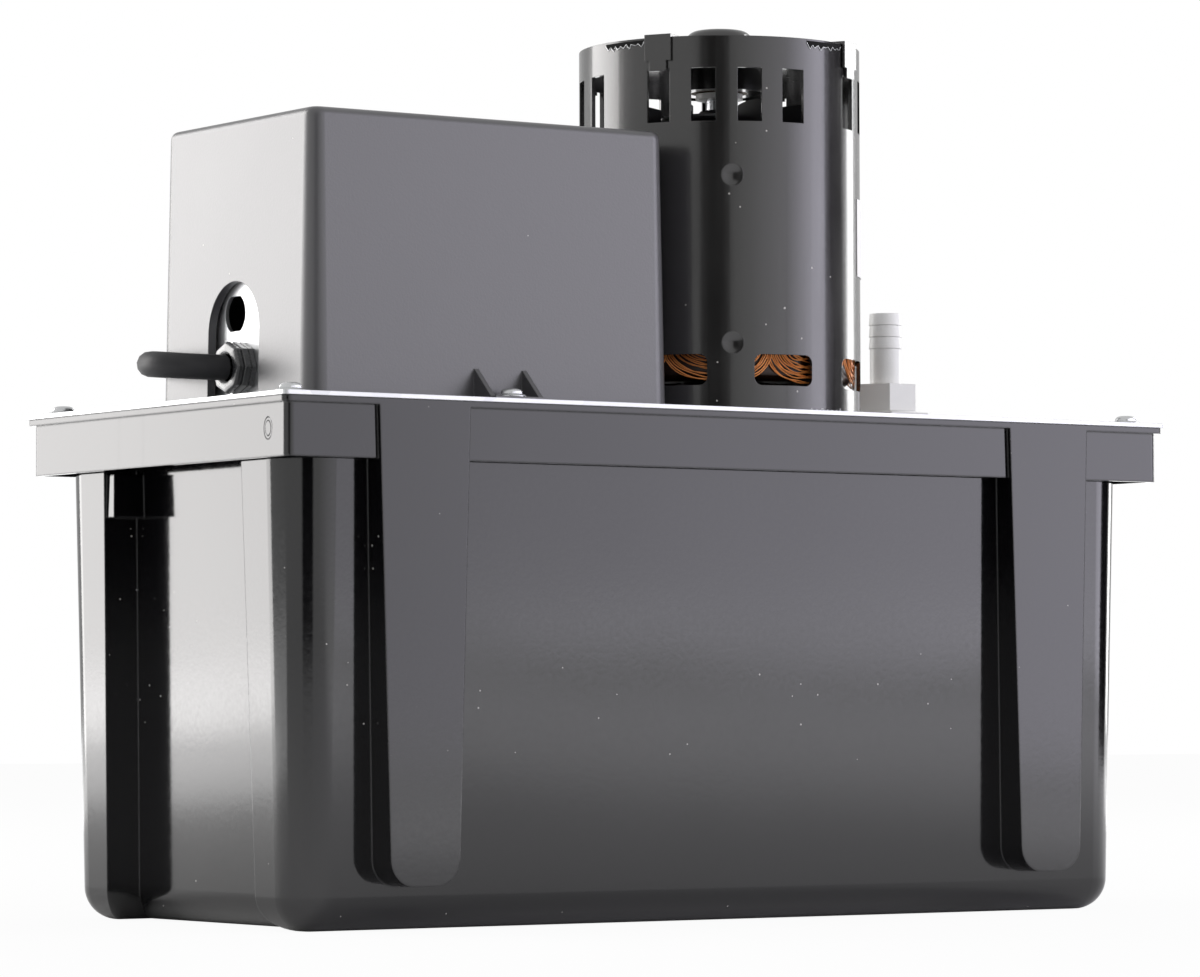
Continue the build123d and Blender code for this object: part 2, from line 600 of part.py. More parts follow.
# Levels of the cam's top, the plungers and the switches at the float's rest height
CAM_TOP = PIVOT_Z + CAM_RADIUS - CAM_THROW * math.sin(math.radians(ROCKER_HALF_ANGLE))
PLUNGER_X = PIVOT_X - CAM_THROW
PLUNGER_LOW = CAM_TOP + FOLLOWER_GAP
PLUNGER_TOP = PLUNGER_LOW + PLUNGER_LENGTH
SWITCH_LOW = PLUNGER_LOW + PLUNGER_SHOW
SWITCH_TOP = SWITCH_LOW + SWITCH_TALL
SWITCH_YS = (-SWITCH_SPACING / 2, SWITCH_SPACING / 2)
SWITCH_SCREW_X = [PLUNGER_X + side * SWITCH_SCREW_SPACING / 2 for side in (-1, 1)]
SWITCH_SCREW_Z = SWITCH_LOW + SWITCH_TALL * 0.72
REST_DROP = FLOAT_TRAVEL / 2
DRIVE_PIN_Z = PIVOT_Z - REST_DROP

# The motor's leads leave the coil window that faces the switch cover
LEAD_WINDOW = round((180 - WINDOW_AZIMUTH) / (360 / WINDOW_COUNT))
LEAD_AZIMUTH = math.radians(WINDOW_AZIMUTH + LEAD_WINDOW * 360 / WINDOW_COUNT)
LEAD_Y = MOTOR_RADIUS * math.sin(LEAD_AZIMUTH)
LEAD_Z = MOTOR_LOW + WINDOW_LOW + WINDOW_TALL / 2
LEAD_RADIUS = 2.6
GROMMET_NECK_RADIUS = 4.6


def make_lead_grommet():
    """The rubber grommet where the motor's leads enter the switch cover."""
    wall_out = COVER_RIGHT - (LEAD_Z - PLATE_TOP) * math.tan(math.radians(COVER_DRAFT))
    wall_in = wall_out - COVER_WALL
    grommet = lengthbar(LEAD_Y, LEAD_Z, (wall_in - 2.2, wall_out + 2.2), GROMMET_NECK_RADIUS - SEAT_GAP)
    grommet += lengthbar(LEAD_Y, LEAD_Z, (wall_out + 0.3, wall_out + 2.2), GROMMET_NECK_RADIUS + 1.6)
    grommet += lengthbar(LEAD_Y, LEAD_Z, (wall_in - 2.2, wall_in - 0.3), GROMMET_NECK_RADIUS + 1.6)
    return grommet - lengthbar(LEAD_Y, LEAD_Z, (wall_in - 4, wall_out + 4), LEAD_RADIUS + SEAT_GAP)


def make_motor_leads():
    """The sleeved motor leads, from the coil window to inside the switch cover."""
    inside_motor = MOTOR_X - MOTOR_RADIUS + MOTOR_SHELL + 1.2
    return lengthbar(LEAD_Y, LEAD_Z, (COVER_RIGHT - 16, inside_motor), LEAD_RADIUS)


def wire(points, radius, bend):
    """A round wire along straight runs joined by arcs."""
    path = FilletPolyline(*points, radius=bend)
    section = Plane(path @ 0, z_dir=path % 0) * Circle(radius)
    return sweep(section, path)


def make_supply_leads():
    """The cord's two conductors, from the strain relief's tail to the switch terminals."""
    start_x = BRACKET_X + BRACKET_THICKNESS + STRAIN_RELIEF_TAIL_LENGTH
    leads = []
    for side in (-1, 1):
        end = (PLUNGER_X - SWITCH_LENGTH / 2 - 7, side * SWITCH_SPACING / 2, SWITCH_LOW + SWITCH_TALL * 0.25)
        points = [
            (start_x, side * 2.6, OUTLET_Z),
            (start_x + 12, side * 2.6, OUTLET_Z),
            (start_x + 22, side * 21, OUTLET_Z + 14),
            (end[0] - 20, side * 17, end[2] - 2),
            (end[0] - 9, end[1], end[2]),
            end,
        ]
        leads.append(wire(points, 1.1, 4))
    return leads


# ---------------------------------------------------------------- float
def make_float():
    """The sealed float, bored for its rod."""
    body = rod(FLOAT_X, 0, FLOAT_LOW, FLOAT_LOW + FLOAT_TALL, FLOAT_RADIUS)
    body = fillet(body.edges().filter_by(GeomType.CIRCLE), 4)
    return body - rod(FLOAT_X, 0, FLOAT_LOW - 1, FLOAT_LOW + FLOAT_TALL + 1, FLOAT_ROD_RADIUS)


def make_float_rod():
    """The float's rod with the cross-drilled head that drives the rocker."""
    stem = rod(FLOAT_X, 0, FLOAT_LOW - ROD_CLIP_TALL - 1.5, DRIVE_PIN_Z, FLOAT_ROD_RADIUS)
    head = rod(FLOAT_X, 0, DRIVE_PIN_Z - ROD_HEAD_TALL / 2, DRIVE_PIN_Z + ROD_HEAD_TALL / 2, ROD_HEAD_RADIUS)
    return stem + head - crossbar(FLOAT_X, DRIVE_PIN_Z, (-9, 9), DRIVE_PIN_RADIUS)


def make_rod_clips():
    """The push-on clips that hold the float on its rod."""
    below = (FLOAT_LOW - ROD_CLIP_TALL, FLOAT_LOW)
    above = (FLOAT_LOW + FLOAT_TALL, FLOAT_LOW + FLOAT_TALL + ROD_CLIP_TALL)
    return [ring(FLOAT_X, 0, low, high, ROD_CLIP_RADIUS, FLOAT_ROD_RADIUS) for low, high in (below, above)]


def make_rod_guide():
    """The flanged bushing that guides the float's rod through the plate."""
    guide = rod(FLOAT_X, 0, TANK_HEIGHT - GUIDE_DEPTH, PLATE_TOP + 2, GUIDE_RADIUS)
    guide += rod(FLOAT_X, 0, PLATE_TOP, PLATE_TOP + 2, GUIDE_FLANGE_RADIUS)
    return guide - rod(FLOAT_X, 0, TANK_HEIGHT - GUIDE_DEPTH - 1, PLATE_TOP + 3, FLOAT_ROD_RADIUS + SLIDING_GAP)


# ---------------------------------------------------------------- motor
def round_cutter(azimuth, low, high, width):
    """A radial prism that cuts one opening in the motor's shell."""
    cutter = block((MOTOR_RADIUS - 6, MOTOR_RADIUS + 4), (-width / 2, width / 2), (low, high))
    return cutter, Pos(MOTOR_X, 0, 0) * Rot(0, 0, azimuth)


def make_motor_shell():
    """The drawn steel shell with vent slots, coil windows and locating dimples."""
    shell = ring(MOTOR_X, 0, MOTOR_LOW, MOTOR_TOP, MOTOR_RADIUS, MOTOR_RADIUS - MOTOR_SHELL)
    vent_low = MOTOR_LOW + VENT_LOW
    for group in range(VENT_GROUPS):
        for slot in range(VENTS_PER_GROUP):
            azimuth = VENT_AZIMUTH + 90 * group + (slot - (VENTS_PER_GROUP - 1) / 2) * VENT_PITCH
            cutter, place = round_cutter(azimuth, vent_low, vent_low + VENT_TALL, VENT_WIDTH)
            shell -= place * cutter
    window_width = 2 * MOTOR_RADIUS * math.sin(math.radians(WINDOW_ARC / 2))
    window_low = MOTOR_LOW + WINDOW_LOW
    for k in range(WINDOW_COUNT):
        azimuth = WINDOW_AZIMUTH + k * 360 / WINDOW_COUNT
        cutter, place = round_cutter(azimuth, window_low, window_low + WINDOW_TALL, window_width)
        cutter = fillet(cutter.edges().filter_by(Axis.X), 2.4)
        shell -= place * cutter
    for quarter in range(4):
        for height in DIMPLE_HEIGHTS:
            azimuth = math.radians(DIMPLE_AZIMUTH + 90 * quarter)
            ball = (DIMPLE_RADIUS**2 + DIMPLE_DEPTH**2) / (2 * DIMPLE_DEPTH)
            reach = MOTOR_RADIUS - DIMPLE_DEPTH + ball
            centre = (MOTOR_X + reach * math.cos(azimuth), reach * math.sin(azimuth), MOTOR_LOW + height)
            shell -= Pos(*centre) * Sphere(ball)
    return shell


def make_top_cap():
    """The upper end cap with its bearing housing, dome and the ears that hook over the shell's rim."""
    inner = MOTOR_RADIUS - MOTOR_SHELL - SEAT_GAP
    level = MOTOR_TOP - CAP_INSET
    cap = rod(MOTOR_X, 0, level - CAP_THICKNESS, level, inner)
    housing_low = level - BEARING_HOUSING_HEIGHT + 2
    cap += rod(MOTOR_X, 0, housing_low, level + 2, BEARING_HOUSING_RADIUS)
    dome_low = MOTOR_TOP
    dome = rod(MOTOR_X, 0, level, dome_low + DOME_RISE, DOME_RADIUS)
    cap += fillet(dome.edges().group_by(Axis.Z)[-1], 3.4)
    cap -= rod(MOTOR_X, 0, housing_low - 1, level + 4, BEARING_RADIUS)
    outside = MOTOR_RADIUS + SEAT_GAP
    sheet = (outside, outside + TAB_THICKNESS)
    head = (-TAB_HEAD_WIDTH / 2, TAB_HEAD_WIDTH / 2)
    stem = (-TAB_STEM_WIDTH / 2, TAB_STEM_WIDTH / 2)
    for k in range(4):
        tab = block(sheet, head, (MOTOR_TOP - 7, MOTOR_TOP + TAB_THICKNESS))
        tab += block(sheet, stem, (MOTOR_TOP - 10, MOTOR_TOP - 6))
        tab += block((inner - 5, outside + 0.2), head, (MOTOR_TOP, MOTOR_TOP + TAB_THICKNESS))
        tab += block((inner - 5, inner - 3.6), head, (level - 1, MOTOR_TOP + 0.4))
        cap += Pos(MOTOR_X, 0, 0) * Rot(0, 0, TAB_AZIMUTH + 90 * k) * tab
    return cap


def make_motor_label():
    """The blank rating label, a thin sheet around part of the shell."""
    middle = MOTOR_RADIUS + LABEL_GLUE + LABEL_THICKNESS / 2
    section = Pos(middle, 0) * Rectangle(LABEL_THICKNESS, LABEL_TALL)
    sheet = revolve(Plane.XZ * section, Axis.Z, LABEL_ARC)
    return Pos(MOTOR_X, 0, MOTOR_LOW + LABEL_LOW + LABEL_TALL / 2) * Rot(0, 0, LABEL_START) * sheet


def make_bottom_cap():
    """The lower end cap, screwed to the plate, with its bearing housing."""
    inner = MOTOR_RADIUS - MOTOR_SHELL - SEAT_GAP
    cap = rod(MOTOR_X, 0, MOTOR_LOW, MOTOR_LOW + CAP_THICKNESS, inner)
    cap += rod(MOTOR_X, 0, MOTOR_LOW, MOTOR_LOW + BEARING_HOUSING_HEIGHT + 2, BEARING_HOUSING_RADIUS)
    for x, y in MOTOR_SCREWS:
        cap += rod(x, y, MOTOR_LOW, MOTOR_LOW + 4.5, 3.4)
    cap -= rod(MOTOR_X, 0, MOTOR_LOW - 1, MOTOR_LOW + BEARING_HOUSING_HEIGHT + 3, BEARING_RADIUS)
    return drilled(cap, MOTOR_SCREWS, MOTOR_LOW - 1, MOTOR_LOW + 6, SCREW_RADIUS + SEAT_GAP)


def make_stator_core():
    """The laminated stator ring with winding slots."""
    low, high = MOTOR_LOW + STACK_LOW, MOTOR_LOW + STACK_LOW + STACK_TALL
    core = ring(MOTOR_X, 0, low, high, MOTOR_RADIUS - MOTOR_SHELL - SEAT_GAP, STATOR_BORE_RADIUS)
    start = STATOR_BORE_RADIUS + SLOT_NECK
    slot = block((start, start + SLOT_DEPTH), (-SLOT_WIDTH / 2, SLOT_WIDTH / 2), (low - 1, high + 1))
    mouth = block((STATOR_BORE_RADIUS - 1, start + 1), (-1.2, 1.2), (low - 1, high + 1))
    for k in range(SLOT_COUNT):
        core -= Pos(MOTOR_X, 0, 0) * Rot(0, 0, 360 * k / SLOT_COUNT) * (slot + mouth)
    return core


def make_stator_coils():
    """The copper windings: a head at each end of the stack and a bar through every slot."""
    low, high = MOTOR_LOW + STACK_LOW, MOTOR_LOW + STACK_LOW + STACK_TALL
    start = STATOR_BORE_RADIUS + SLOT_NECK + COIL_CLEARANCE
    end = STATOR_BORE_RADIUS + SLOT_NECK + SLOT_DEPTH - COIL_CLEARANCE
    half = SLOT_WIDTH / 2 - COIL_CLEARANCE
    gap = COIL_CLEARANCE
    coils = None
    for head_low in (low - gap - COIL_HEAD_TALL, high + gap):
        inner = STATOR_BORE_RADIUS + SLOT_NECK
        head = ring(MOTOR_X, 0, head_low, head_low + COIL_HEAD_TALL, COIL_HEAD_RADIUS, inner)
        head = fillet(head.edges().filter_by(GeomType.CIRCLE), 3)
        coils = head if coils is None else coils + head
    bar = block((start, end), (-half, half), (low - gap - 4, high + gap + 4))
    for k in range(SLOT_COUNT):
        coils += Pos(MOTOR_X, 0, 0) * Rot(0, 0, 360 * k / SLOT_COUNT) * bar
    return coils


def make_rotor_core():
    """The squirrel-cage rotor with its end rings."""
    low, high = MOTOR_LOW + STACK_LOW, MOTOR_LOW + STACK_LOW + STACK_TALL
    rotor = rod(MOTOR_X, 0, low, high, STATOR_BORE_RADIUS - AIR_GAP)
    rotor += rod(MOTOR_X, 0, low - 5, high + 5, STATOR_BORE_RADIUS - 4)
    return rotor - rod(MOTOR_X, 0, low - 6, high + 6, SHAFT_RADIUS)


# ---------------------------------------------------------------- shaft train levels
LOWER_BEARING = (MOTOR_LOW + 2, MOTOR_LOW + BEARING_HOUSING_HEIGHT + 2)
UPPER_BEARING = (MOTOR_TOP - CAP_INSET - BEARING_HOUSING_HEIGHT + 2, MOTOR_TOP - CAP_INSET + 2)
VOLUTE_TOP = VOLUTE_LOW + VOLUTE_TALL
CHAMBER_LOW = VOLUTE_LOW + 3
CHAMBER_TOP = VOLUTE_TOP - VOLUTE_WALL
IMPELLER_LOW = CHAMBER_LOW + IMPELLER_GAP
IMPELLER_TOP = CHAMBER_TOP - IMPELLER_GAP
SHAFT_LOW = IMPELLER_LOW
SHAFT_TOP = UPPER_BEARING[1] - 0.5
SLINGER_Z = TANK_HEIGHT - COLUMN_CUP_DEPTH * 0.5
DUCT_Z = (CHAMBER_LOW + CHAMBER_TOP) / 2


def make_bearing(span):
    """A sleeve bearing with a running fit on the shaft."""
    return ring(MOTOR_X, 0, span[0], span[1], BEARING_RADIUS, SHAFT_RADIUS + RUNNING_GAP)


def make_thrust_washers():
    """Washers on the shaft, each just clear of a bearing's face."""
    above_lower = (LOWER_BEARING[1] + 0.3, LOWER_BEARING[1] + 2)
    below_upper = (UPPER_BEARING[0] - 2, UPPER_BEARING[0] - 0.3)
    return [ring(MOTOR_X, 0, low, high, SHAFT_RADIUS + 3, SHAFT_RADIUS) for low, high in (above_lower, below_upper)]


def make_fan():
    """The cooling fan: a hub, a web and straight blades."""
    low = MOTOR_LOW + FAN_LOW
    high = low + FAN_HEIGHT
    fan = rod(MOTOR_X, 0, low - 4, high - 5, FAN_HUB_RADIUS)
    fan += rod(MOTOR_X, 0, low - 1.4, low, FAN_RADIUS - 1)
    half = FAN_BLADE_THICKNESS / 2
    blade = block((FAN_HUB_RADIUS - 1, FAN_RADIUS), (-half, half), (low - 0.5, high - 3))
    for k in range(FAN_BLADES):
        fan += Pos(MOTOR_X, 0, 0) * Rot(0, 0, 360 * k / FAN_BLADES) * blade
    return fan - rod(MOTOR_X, 0, low - 5, high + 1, SHAFT_RADIUS)


def make_impeller():
    """The open impeller: a disc, a hub and backward-curved vanes."""
    impeller = rod(MOTOR_X, 0, IMPELLER_TOP - IMPELLER_DISC, IMPELLER_TOP, IMPELLER_RADIUS)
    impeller += rod(MOTOR_X, 0, IMPELLER_LOW, IMPELLER_TOP, SHAFT_RADIUS + 2.5)
    sweep_radius = IMPELLER_RADIUS * 0.8
    vane = ring(0, sweep_radius, IMPELLER_LOW, IMPELLER_TOP - 0.5, sweep_radius + 0.8, sweep_radius - 0.8)
    vane &= block((SHAFT_RADIUS + 1, IMPELLER_RADIUS), (-1, IMPELLER_RADIUS), (0, IMPELLER_TOP))
    vane &= rod(0, 0, 0, IMPELLER_TOP + 1, IMPELLER_RADIUS - 0.4)
    for k in range(IMPELLER_BLADES):
        impeller += Pos(MOTOR_X, 0, 0) * Rot(0, 0, 360 * k / IMPELLER_BLADES) * vane
    return impeller - rod(MOTOR_X, 0, IMPELLER_LOW - 1, IMPELLER_TOP + 1, SHAFT_RADIUS)


# ---------------------------------------------------------------- submerged pump
VOLUTE_SCREWS = [
    (MOTOR_X + (VOLUTE_RADIUS - 2.6) * math.cos(a), (VOLUTE_RADIUS - 2.6) * math.sin(a))
    for a in (math.radians(45 + 360 * k / VOLUTE_SCREW_COUNT) for k in range(VOLUTE_SCREW_COUNT))
]
VOLUTE_SCREW_RADIUS = 1.2


def make_pump_column():
    """The hanging column around the shaft, with its splash cup, flange and weep slots."""
    inner = COLUMN_RADIUS - COLUMN_WALL
    cup_low = TANK_HEIGHT - COLUMN_CUP_DEPTH
    column = rod(MOTOR_X, 0, VOLUTE_TOP, TANK_HEIGHT, COLUMN_RADIUS)
    column += rod(MOTOR_X, 0, cup_low, TANK_HEIGHT, COLUMN_CUP_RADIUS)
    column += rod(MOTOR_X, 0, TANK_HEIGHT - COLUMN_FLANGE_THICKNESS, TANK_HEIGHT, COLUMN_FLANGE_RADIUS)
    column -= rod(MOTOR_X, 0, VOLUTE_TOP - 1, TANK_HEIGHT + 1, inner)
    column -= rod(MOTOR_X, 0, cup_low + COLUMN_WALL, TANK_HEIGHT + 1, COLUMN_CUP_RADIUS - COLUMN_WALL)
    slot_high = cup_low - 4
    column -= block((MOTOR_X - 3, MOTOR_X + 3), (-COLUMN_RADIUS - 1, COLUMN_RADIUS + 1), (slot_high - 16, slot_high))
    return drilled(column, MOTOR_SCREWS, TANK_HEIGHT - 4, TANK_HEIGHT + 1, SCREW_RADIUS + SEAT_GAP)


def make_volute():
    """The pump casing with its chamber, outlet arm and riser socket."""
    casing = rod(MOTOR_X, 0, VOLUTE_LOW, VOLUTE_TOP, VOLUTE_RADIUS)
    casing += lengthbar(0, DUCT_Z, (MOTOR_X + VOLUTE_RADIUS - 8, DISCHARGE_X), ARM_RADIUS)
    casing += rod(DISCHARGE_X, 0, DUCT_Z - ARM_RADIUS, RISER_LOW + RISER_SOCKET, PIPE_RADIUS + 2.5)
    casing -= rod(MOTOR_X, 0, VOLUTE_LOW - 1, CHAMBER_TOP, VOLUTE_RADIUS - VOLUTE_WALL)
    casing -= lengthbar(0, DUCT_Z, (MOTOR_X + VOLUTE_RADIUS - 10, DISCHARGE_X), DUCT_RADIUS)
    casing -= rod(DISCHARGE_X, 0, DUCT_Z, RISER_LOW + 1, DUCT_RADIUS)
    casing -= Pos(DISCHARGE_X, 0, DUCT_Z) * Sphere(DUCT_RADIUS)
    casing -= rod(DISCHARGE_X, 0, RISER_LOW, RISER_LOW + RISER_SOCKET + 1, PIPE_RADIUS + SEAT_GAP)
    casing -= rod(MOTOR_X, 0, CHAMBER_TOP - 1, VOLUTE_TOP + 1, SHAFT_RADIUS + 1.5)
    return drilled(casing, VOLUTE_SCREWS, VOLUTE_LOW - 1, VOLUTE_LOW + 11, VOLUTE_SCREW_RADIUS + SEAT_GAP)


RISER_LOW = DUCT_Z + ARM_RADIUS + 0.5
RISER_SOCKET = 11.0


def make_volute_cover():
    """The plate that closes the pump casing, with the intake eye."""
    cover = rod(MOTOR_X, 0, VOLUTE_LOW - 2.5, VOLUTE_LOW, VOLUTE_RADIUS)
    cover += rod(MOTOR_X, 0, VOLUTE_LOW - 1, CHAMBER_LOW, VOLUTE_RADIUS - VOLUTE_WALL - SEAT_GAP)
    cover -= rod(MOTOR_X, 0, VOLUTE_LOW - 4, CHAMBER_LOW + 1, INTAKE_RADIUS)
    return drilled(cover, VOLUTE_SCREWS, VOLUTE_LOW - 4, VOLUTE_LOW + 1, VOLUTE_SCREW_RADIUS + SEAT_GAP)


def make_intake_screen():
    """The perforated disc under the intake eye."""
    high = VOLUTE_LOW - 2.5
    screen = rod(MOTOR_X, 0, high - SCREEN_THICKNESS, high, SCREEN_RADIUS)
    holes = [(MOTOR_X, 0)]
    for k in range(6):
        holes.append((MOTOR_X + 5 * math.cos(math.pi / 3 * k), 5 * math.sin(math.pi / 3 * k)))
    return drilled(screen, holes, high - SCREEN_THICKNESS - 1, high + 1, 1.9)


# ---------------------------------------------------------------- check valve and outlet
VALVE_LOW = TANK_HEIGHT - VALVE_BELOW_PLATE
VALVE_HIGH = PLATE_TOP + VALVE_ABOVE_PLATE
SEAT_LOW = VALVE_LOW + VALVE_SOCKET_DEPTH
SEAT_TOP = SEAT_LOW + VALVE_SEAT_THICKNESS
POPPET_LOW = SEAT_TOP + 0.1
SPIGOT_LOW = VALVE_HIGH - OUTLET_SPIGOT


def make_discharge_pipe():
    """The riser from the pump casing to the check valve."""
    return ring(DISCHARGE_X, 0, RISER_LOW, SEAT_LOW, PIPE_RADIUS, PIPE_RADIUS - PIPE_WALL)


def make_check_valve():
    """The check valve's body: pipe socket, seat, chamber and the flange under the plate."""
    body = rod(DISCHARGE_X, 0, VALVE_LOW, VALVE_HIGH, VALVE_RADIUS)
    body += rod(DISCHARGE_X, 0, TANK_HEIGHT - 4, TANK_HEIGHT, VALVE_FLANGE_RADIUS)
    body -= rod(DISCHARGE_X, 0, VALVE_LOW - 1, SEAT_LOW, PIPE_RADIUS + SEAT_GAP)
    body -= rod(DISCHARGE_X, 0, SEAT_LOW - 1, SEAT_TOP + 1, VALVE_SEAT_RADIUS)
    return body - rod(DISCHARGE_X, 0, SEAT_TOP, VALVE_HIGH + 1, VALVE_CHAMBER_RADIUS)


def make_valve_nut():
    """The hexagonal nut that clamps the valve to the plate."""
    nut = hex_bar(DISCHARGE_X, 0, PLATE_TOP, VALVE_HIGH - 0.6, VALVE_NUT_FLATS)
    return nut - rod(DISCHARGE_X, 0, PLATE_TOP - 1, VALVE_HIGH + 1, VALVE_RADIUS + SEAT_GAP)


def make_poppet():
    """The poppet with its guide stem."""
    poppet = rod(DISCHARGE_X, 0, POPPET_LOW, POPPET_LOW + POPPET_THICKNESS, POPPET_RADIUS)
    return poppet + rod(DISCHARGE_X, 0, POPPET_LOW, POPPET_LOW + POPPET_THICKNESS + POPPET_STEM_LENGTH, POPPET_STEM_RADIUS)


def make_valve_spring():
    """The coil spring between the poppet and the outlet's spigot."""
    wire_radius = VALVE_SPRING_WIRE / 2
    low = POPPET_LOW + POPPET_THICKNESS + wire_radius + 0.05
    high = SPIGOT_LOW - wire_radius - 0.05
    helix = Helix((high - low) / VALVE_SPRING_TURNS, high - low, VALVE_SPRING_RADIUS)
    section = Plane(helix @ 0, z_dir=helix % 0) * Circle(wire_radius)
    return Pos(DISCHARGE_X, 0, low) * sweep(section, helix, is_frenet=True)


def make_outlet():
    """The barbed hose outlet with its spigot and wrench hexagon."""
    outlet = rod(DISCHARGE_X, 0, SPIGOT_LOW, VALVE_HIGH + 1, VALVE_CHAMBER_RADIUS - SEAT_GAP)
    hex_top = VALVE_HIGH + OUTLET_HEX_TALL
    outlet += hex_bar(DISCHARGE_X, 0, VALVE_HIGH, hex_top, OUTLET_HEX_FLATS)
    outlet += rod(DISCHARGE_X, 0, hex_top - 1, hex_top + BARB_LENGTH, BARB_RADIUS)
    ring_tall = (BARB_LENGTH - BARB_PLAIN_LENGTH) / BARB_RINGS
    for k in range(BARB_RINGS):
        low = hex_top + BARB_PLAIN_LENGTH + k * ring_tall
        cone = Cone(BARB_RADIUS + BARB_STEP, BARB_RADIUS, ring_tall)
        outlet += Pos(DISCHARGE_X, 0, low + ring_tall / 2) * cone
    return outlet - rod(DISCHARGE_X, 0, SPIGOT_LOW - 1, hex_top + BARB_LENGTH + 1, BARB_BORE_RADIUS)


# ---------------------------------------------------------------- power cord
CORD_RADIUS = CORD_DIAMETER / 2
COIL_X, COIL_Y = 0.0, 134.0
COIL_PITCH = 7.6
COIL_INNER_LINE = 30.0
COIL_OUTER_LINE = 49.0
COIL_TALL = 2 * CORD_DIAMETER + 0.4
PLUG_WIDTH = 24.0
PLUG_LENGTH = 36.0
PLUG_TALL = 20.0
BLADE_LENGTH = 17.0

CORD_ROUTE = [
    (STRAIN_RELIEF_FACE_X, 0.0, OUTLET_Z),
    (-141.2, 0.0, OUTLET_Z),
    (-147.1, 8.6, OUTLET_Z + 0.9),
    (-138.6, 25.0, OUTLET_Z + 2.0),
    (-126.4, 45.2, OUTLET_Z + 3.5),
    (-107.5, 62.0, OUTLET_Z + 4.6),
    (-88.0, 78.0, OUTLET_Z + 0.6),
    (-76.5, 91.0, 135.0),
    (-72.0, 98.5, 105.0),
    (-71.0, 100.0, 71.0),
    (-74.0, 97.0, 40.0),
    (-74.5, 98.5, 16.0),
    (-66.0, 105.0, CORD_RADIUS + 0.3),
    (-53.5, 118.0, CORD_RADIUS),
    (-COIL_OUTER_LINE, 134.0, CORD_RADIUS),
]
TAIL_ROUTE = [
    (COIL_OUTER_LINE, 134.0, CORD_RADIUS + 7.2),
    (53.0, 114.0, CORD_RADIUS + 5.0),
    (66.0, 97.5, CORD_RADIUS + 1.0),
    (88.0, 90.0, CORD_RADIUS),
    (104.0, 97.0, CORD_RADIUS + 1.0),
    (108.0, 112.0, PLUG_TALL / 2),
    (108.0, 123.0, PLUG_TALL / 2),
]


def bend_radii(points):
    """For each inner point, the largest arc that its two runs allow."""
    radii = []
    for before, here, after in zip(points, points[1:], points[2:]):
        incoming = Vector(*here) - Vector(*before)
        outgoing = Vector(*after) - Vector(*here)
        turn = math.radians(incoming.get_angle(outgoing))
        radii.append(0.45 * min(incoming.length, outgoing.length) / math.tan(turn / 2))
    return radii


def cord_tube(points, label):
    """The cord's tube along straight runs and tangent arcs, with its radii and length printed."""
    radii = bend_radii(points)
    path = FilletPolyline(*points, radius=radii)
    section = Plane(path @ 0, z_dir=path % 0) * Circle(CORD_RADIUS)
    tube = sweep(section, path)
    expected = math.pi * CORD_RADIUS**2 * path.length
    print(label, "radii", [round(radius, 1) for radius in radii])
    print(label, "length", round(path.length, 1), "volume ratio", round(tube.volume / expected, 4))
    return tube


def make_cord_coil():
    """The outer shape of the coiled cord."""
    inner = COIL_INNER_LINE - CORD_RADIUS
    outer = COIL_OUTER_LINE + CORD_RADIUS
    coil = ring(COIL_X, COIL_Y, 0, COIL_TALL, outer, inner)
    return fillet(coil.edges().filter_by(GeomType.CIRCLE), CORD_RADIUS - 0.4)


def make_plug_body():
    """The moulded plug with its rounded cord end."""
    x, y, z = TAIL_ROUTE[-1]
    body = block((x - PLUG_WIDTH / 2, x + PLUG_WIDTH / 2), (y, y + PLUG_LENGTH), (0, PLUG_TALL))
    return fillet(body.edges(), 3.5)


def make_plug_blades():
    """Two flat blades and the round earth pin."""
    x, y, z = TAIL_ROUTE[-1]
    root = y + PLUG_LENGTH
    blades = [
        block((x + side * 6.35 - 0.8, x + side * 6.35 + 0.8), (root, root + BLADE_LENGTH), (z - 1.5, z + 4.8))
        for side in (-1, 1)
    ]
    earth = Rot(90, 0, 0) * Cylinder(2.4, BLADE_LENGTH + 2)
    return blades + [Pos(x, root + BLADE_LENGTH / 2 + 1, z - 5.4) * earth]


def make_coil_tie():
    """The tie around the coil's section."""
    middle = (COIL_INNER_LINE + COIL_OUTER_LINE) / 2
    across = COIL_OUTER_LINE - COIL_INNER_LINE + CORD_DIAMETER
    outer = Pos(COIL_X, COIL_Y + middle, COIL_TALL / 2) * Box(6, across + 3, COIL_TALL + 1.5)
    core = Pos(COIL_X, COIL_Y + middle, COIL_TALL / 2) * Box(8, across + 0.6, COIL_TALL + 0.2)
    lifted = outer - core
    return lifted - block((COIL_X - 10, COIL_X + 10), (COIL_Y, COIL_Y + 90), (-5, 0))


# ---------------------------------------------------------------- write every sub-part
save("tank", make_tank())
save("cover_plate", make_cover_plate())
save("cover_screws", *[screw(x, y, PLATE_TOP, 12) for x, y in CORNER_SCREWS])
save("inlet_plug", make_inlet_plug())
save("switch_cover", make_switch_cover())
lug_top = PLATE_TOP + COVER_LUG_THICKNESS
save("switch_cover_screws", *[screw(COVER_LUG_X, side * COVER_LUG_SCREW_Y, lug_top, 9) for side in (-1, 1)])
save("wiring_bracket", make_wiring_bracket())
bracket_top = PLATE_TOP + BRACKET_THICKNESS
save("bracket_screws", *[screw(x, y, bracket_top, 6) for x, y in BRACKET_SCREWS + SWITCH_BRACKET_SCREWS])
save("strain_relief", make_strain_relief())
save("supply_leads", *make_supply_leads())
save("switch_bracket", make_switch_bracket())
save("pivot_pin", headed_pin(PIVOT_X, PIVOT_Z, PIVOT_RADIUS))
save("switch_screws", *[headed_pin(x, SWITCH_SCREW_Z, SWITCH_SCREW_RADIUS) for x in SWITCH_SCREW_X])
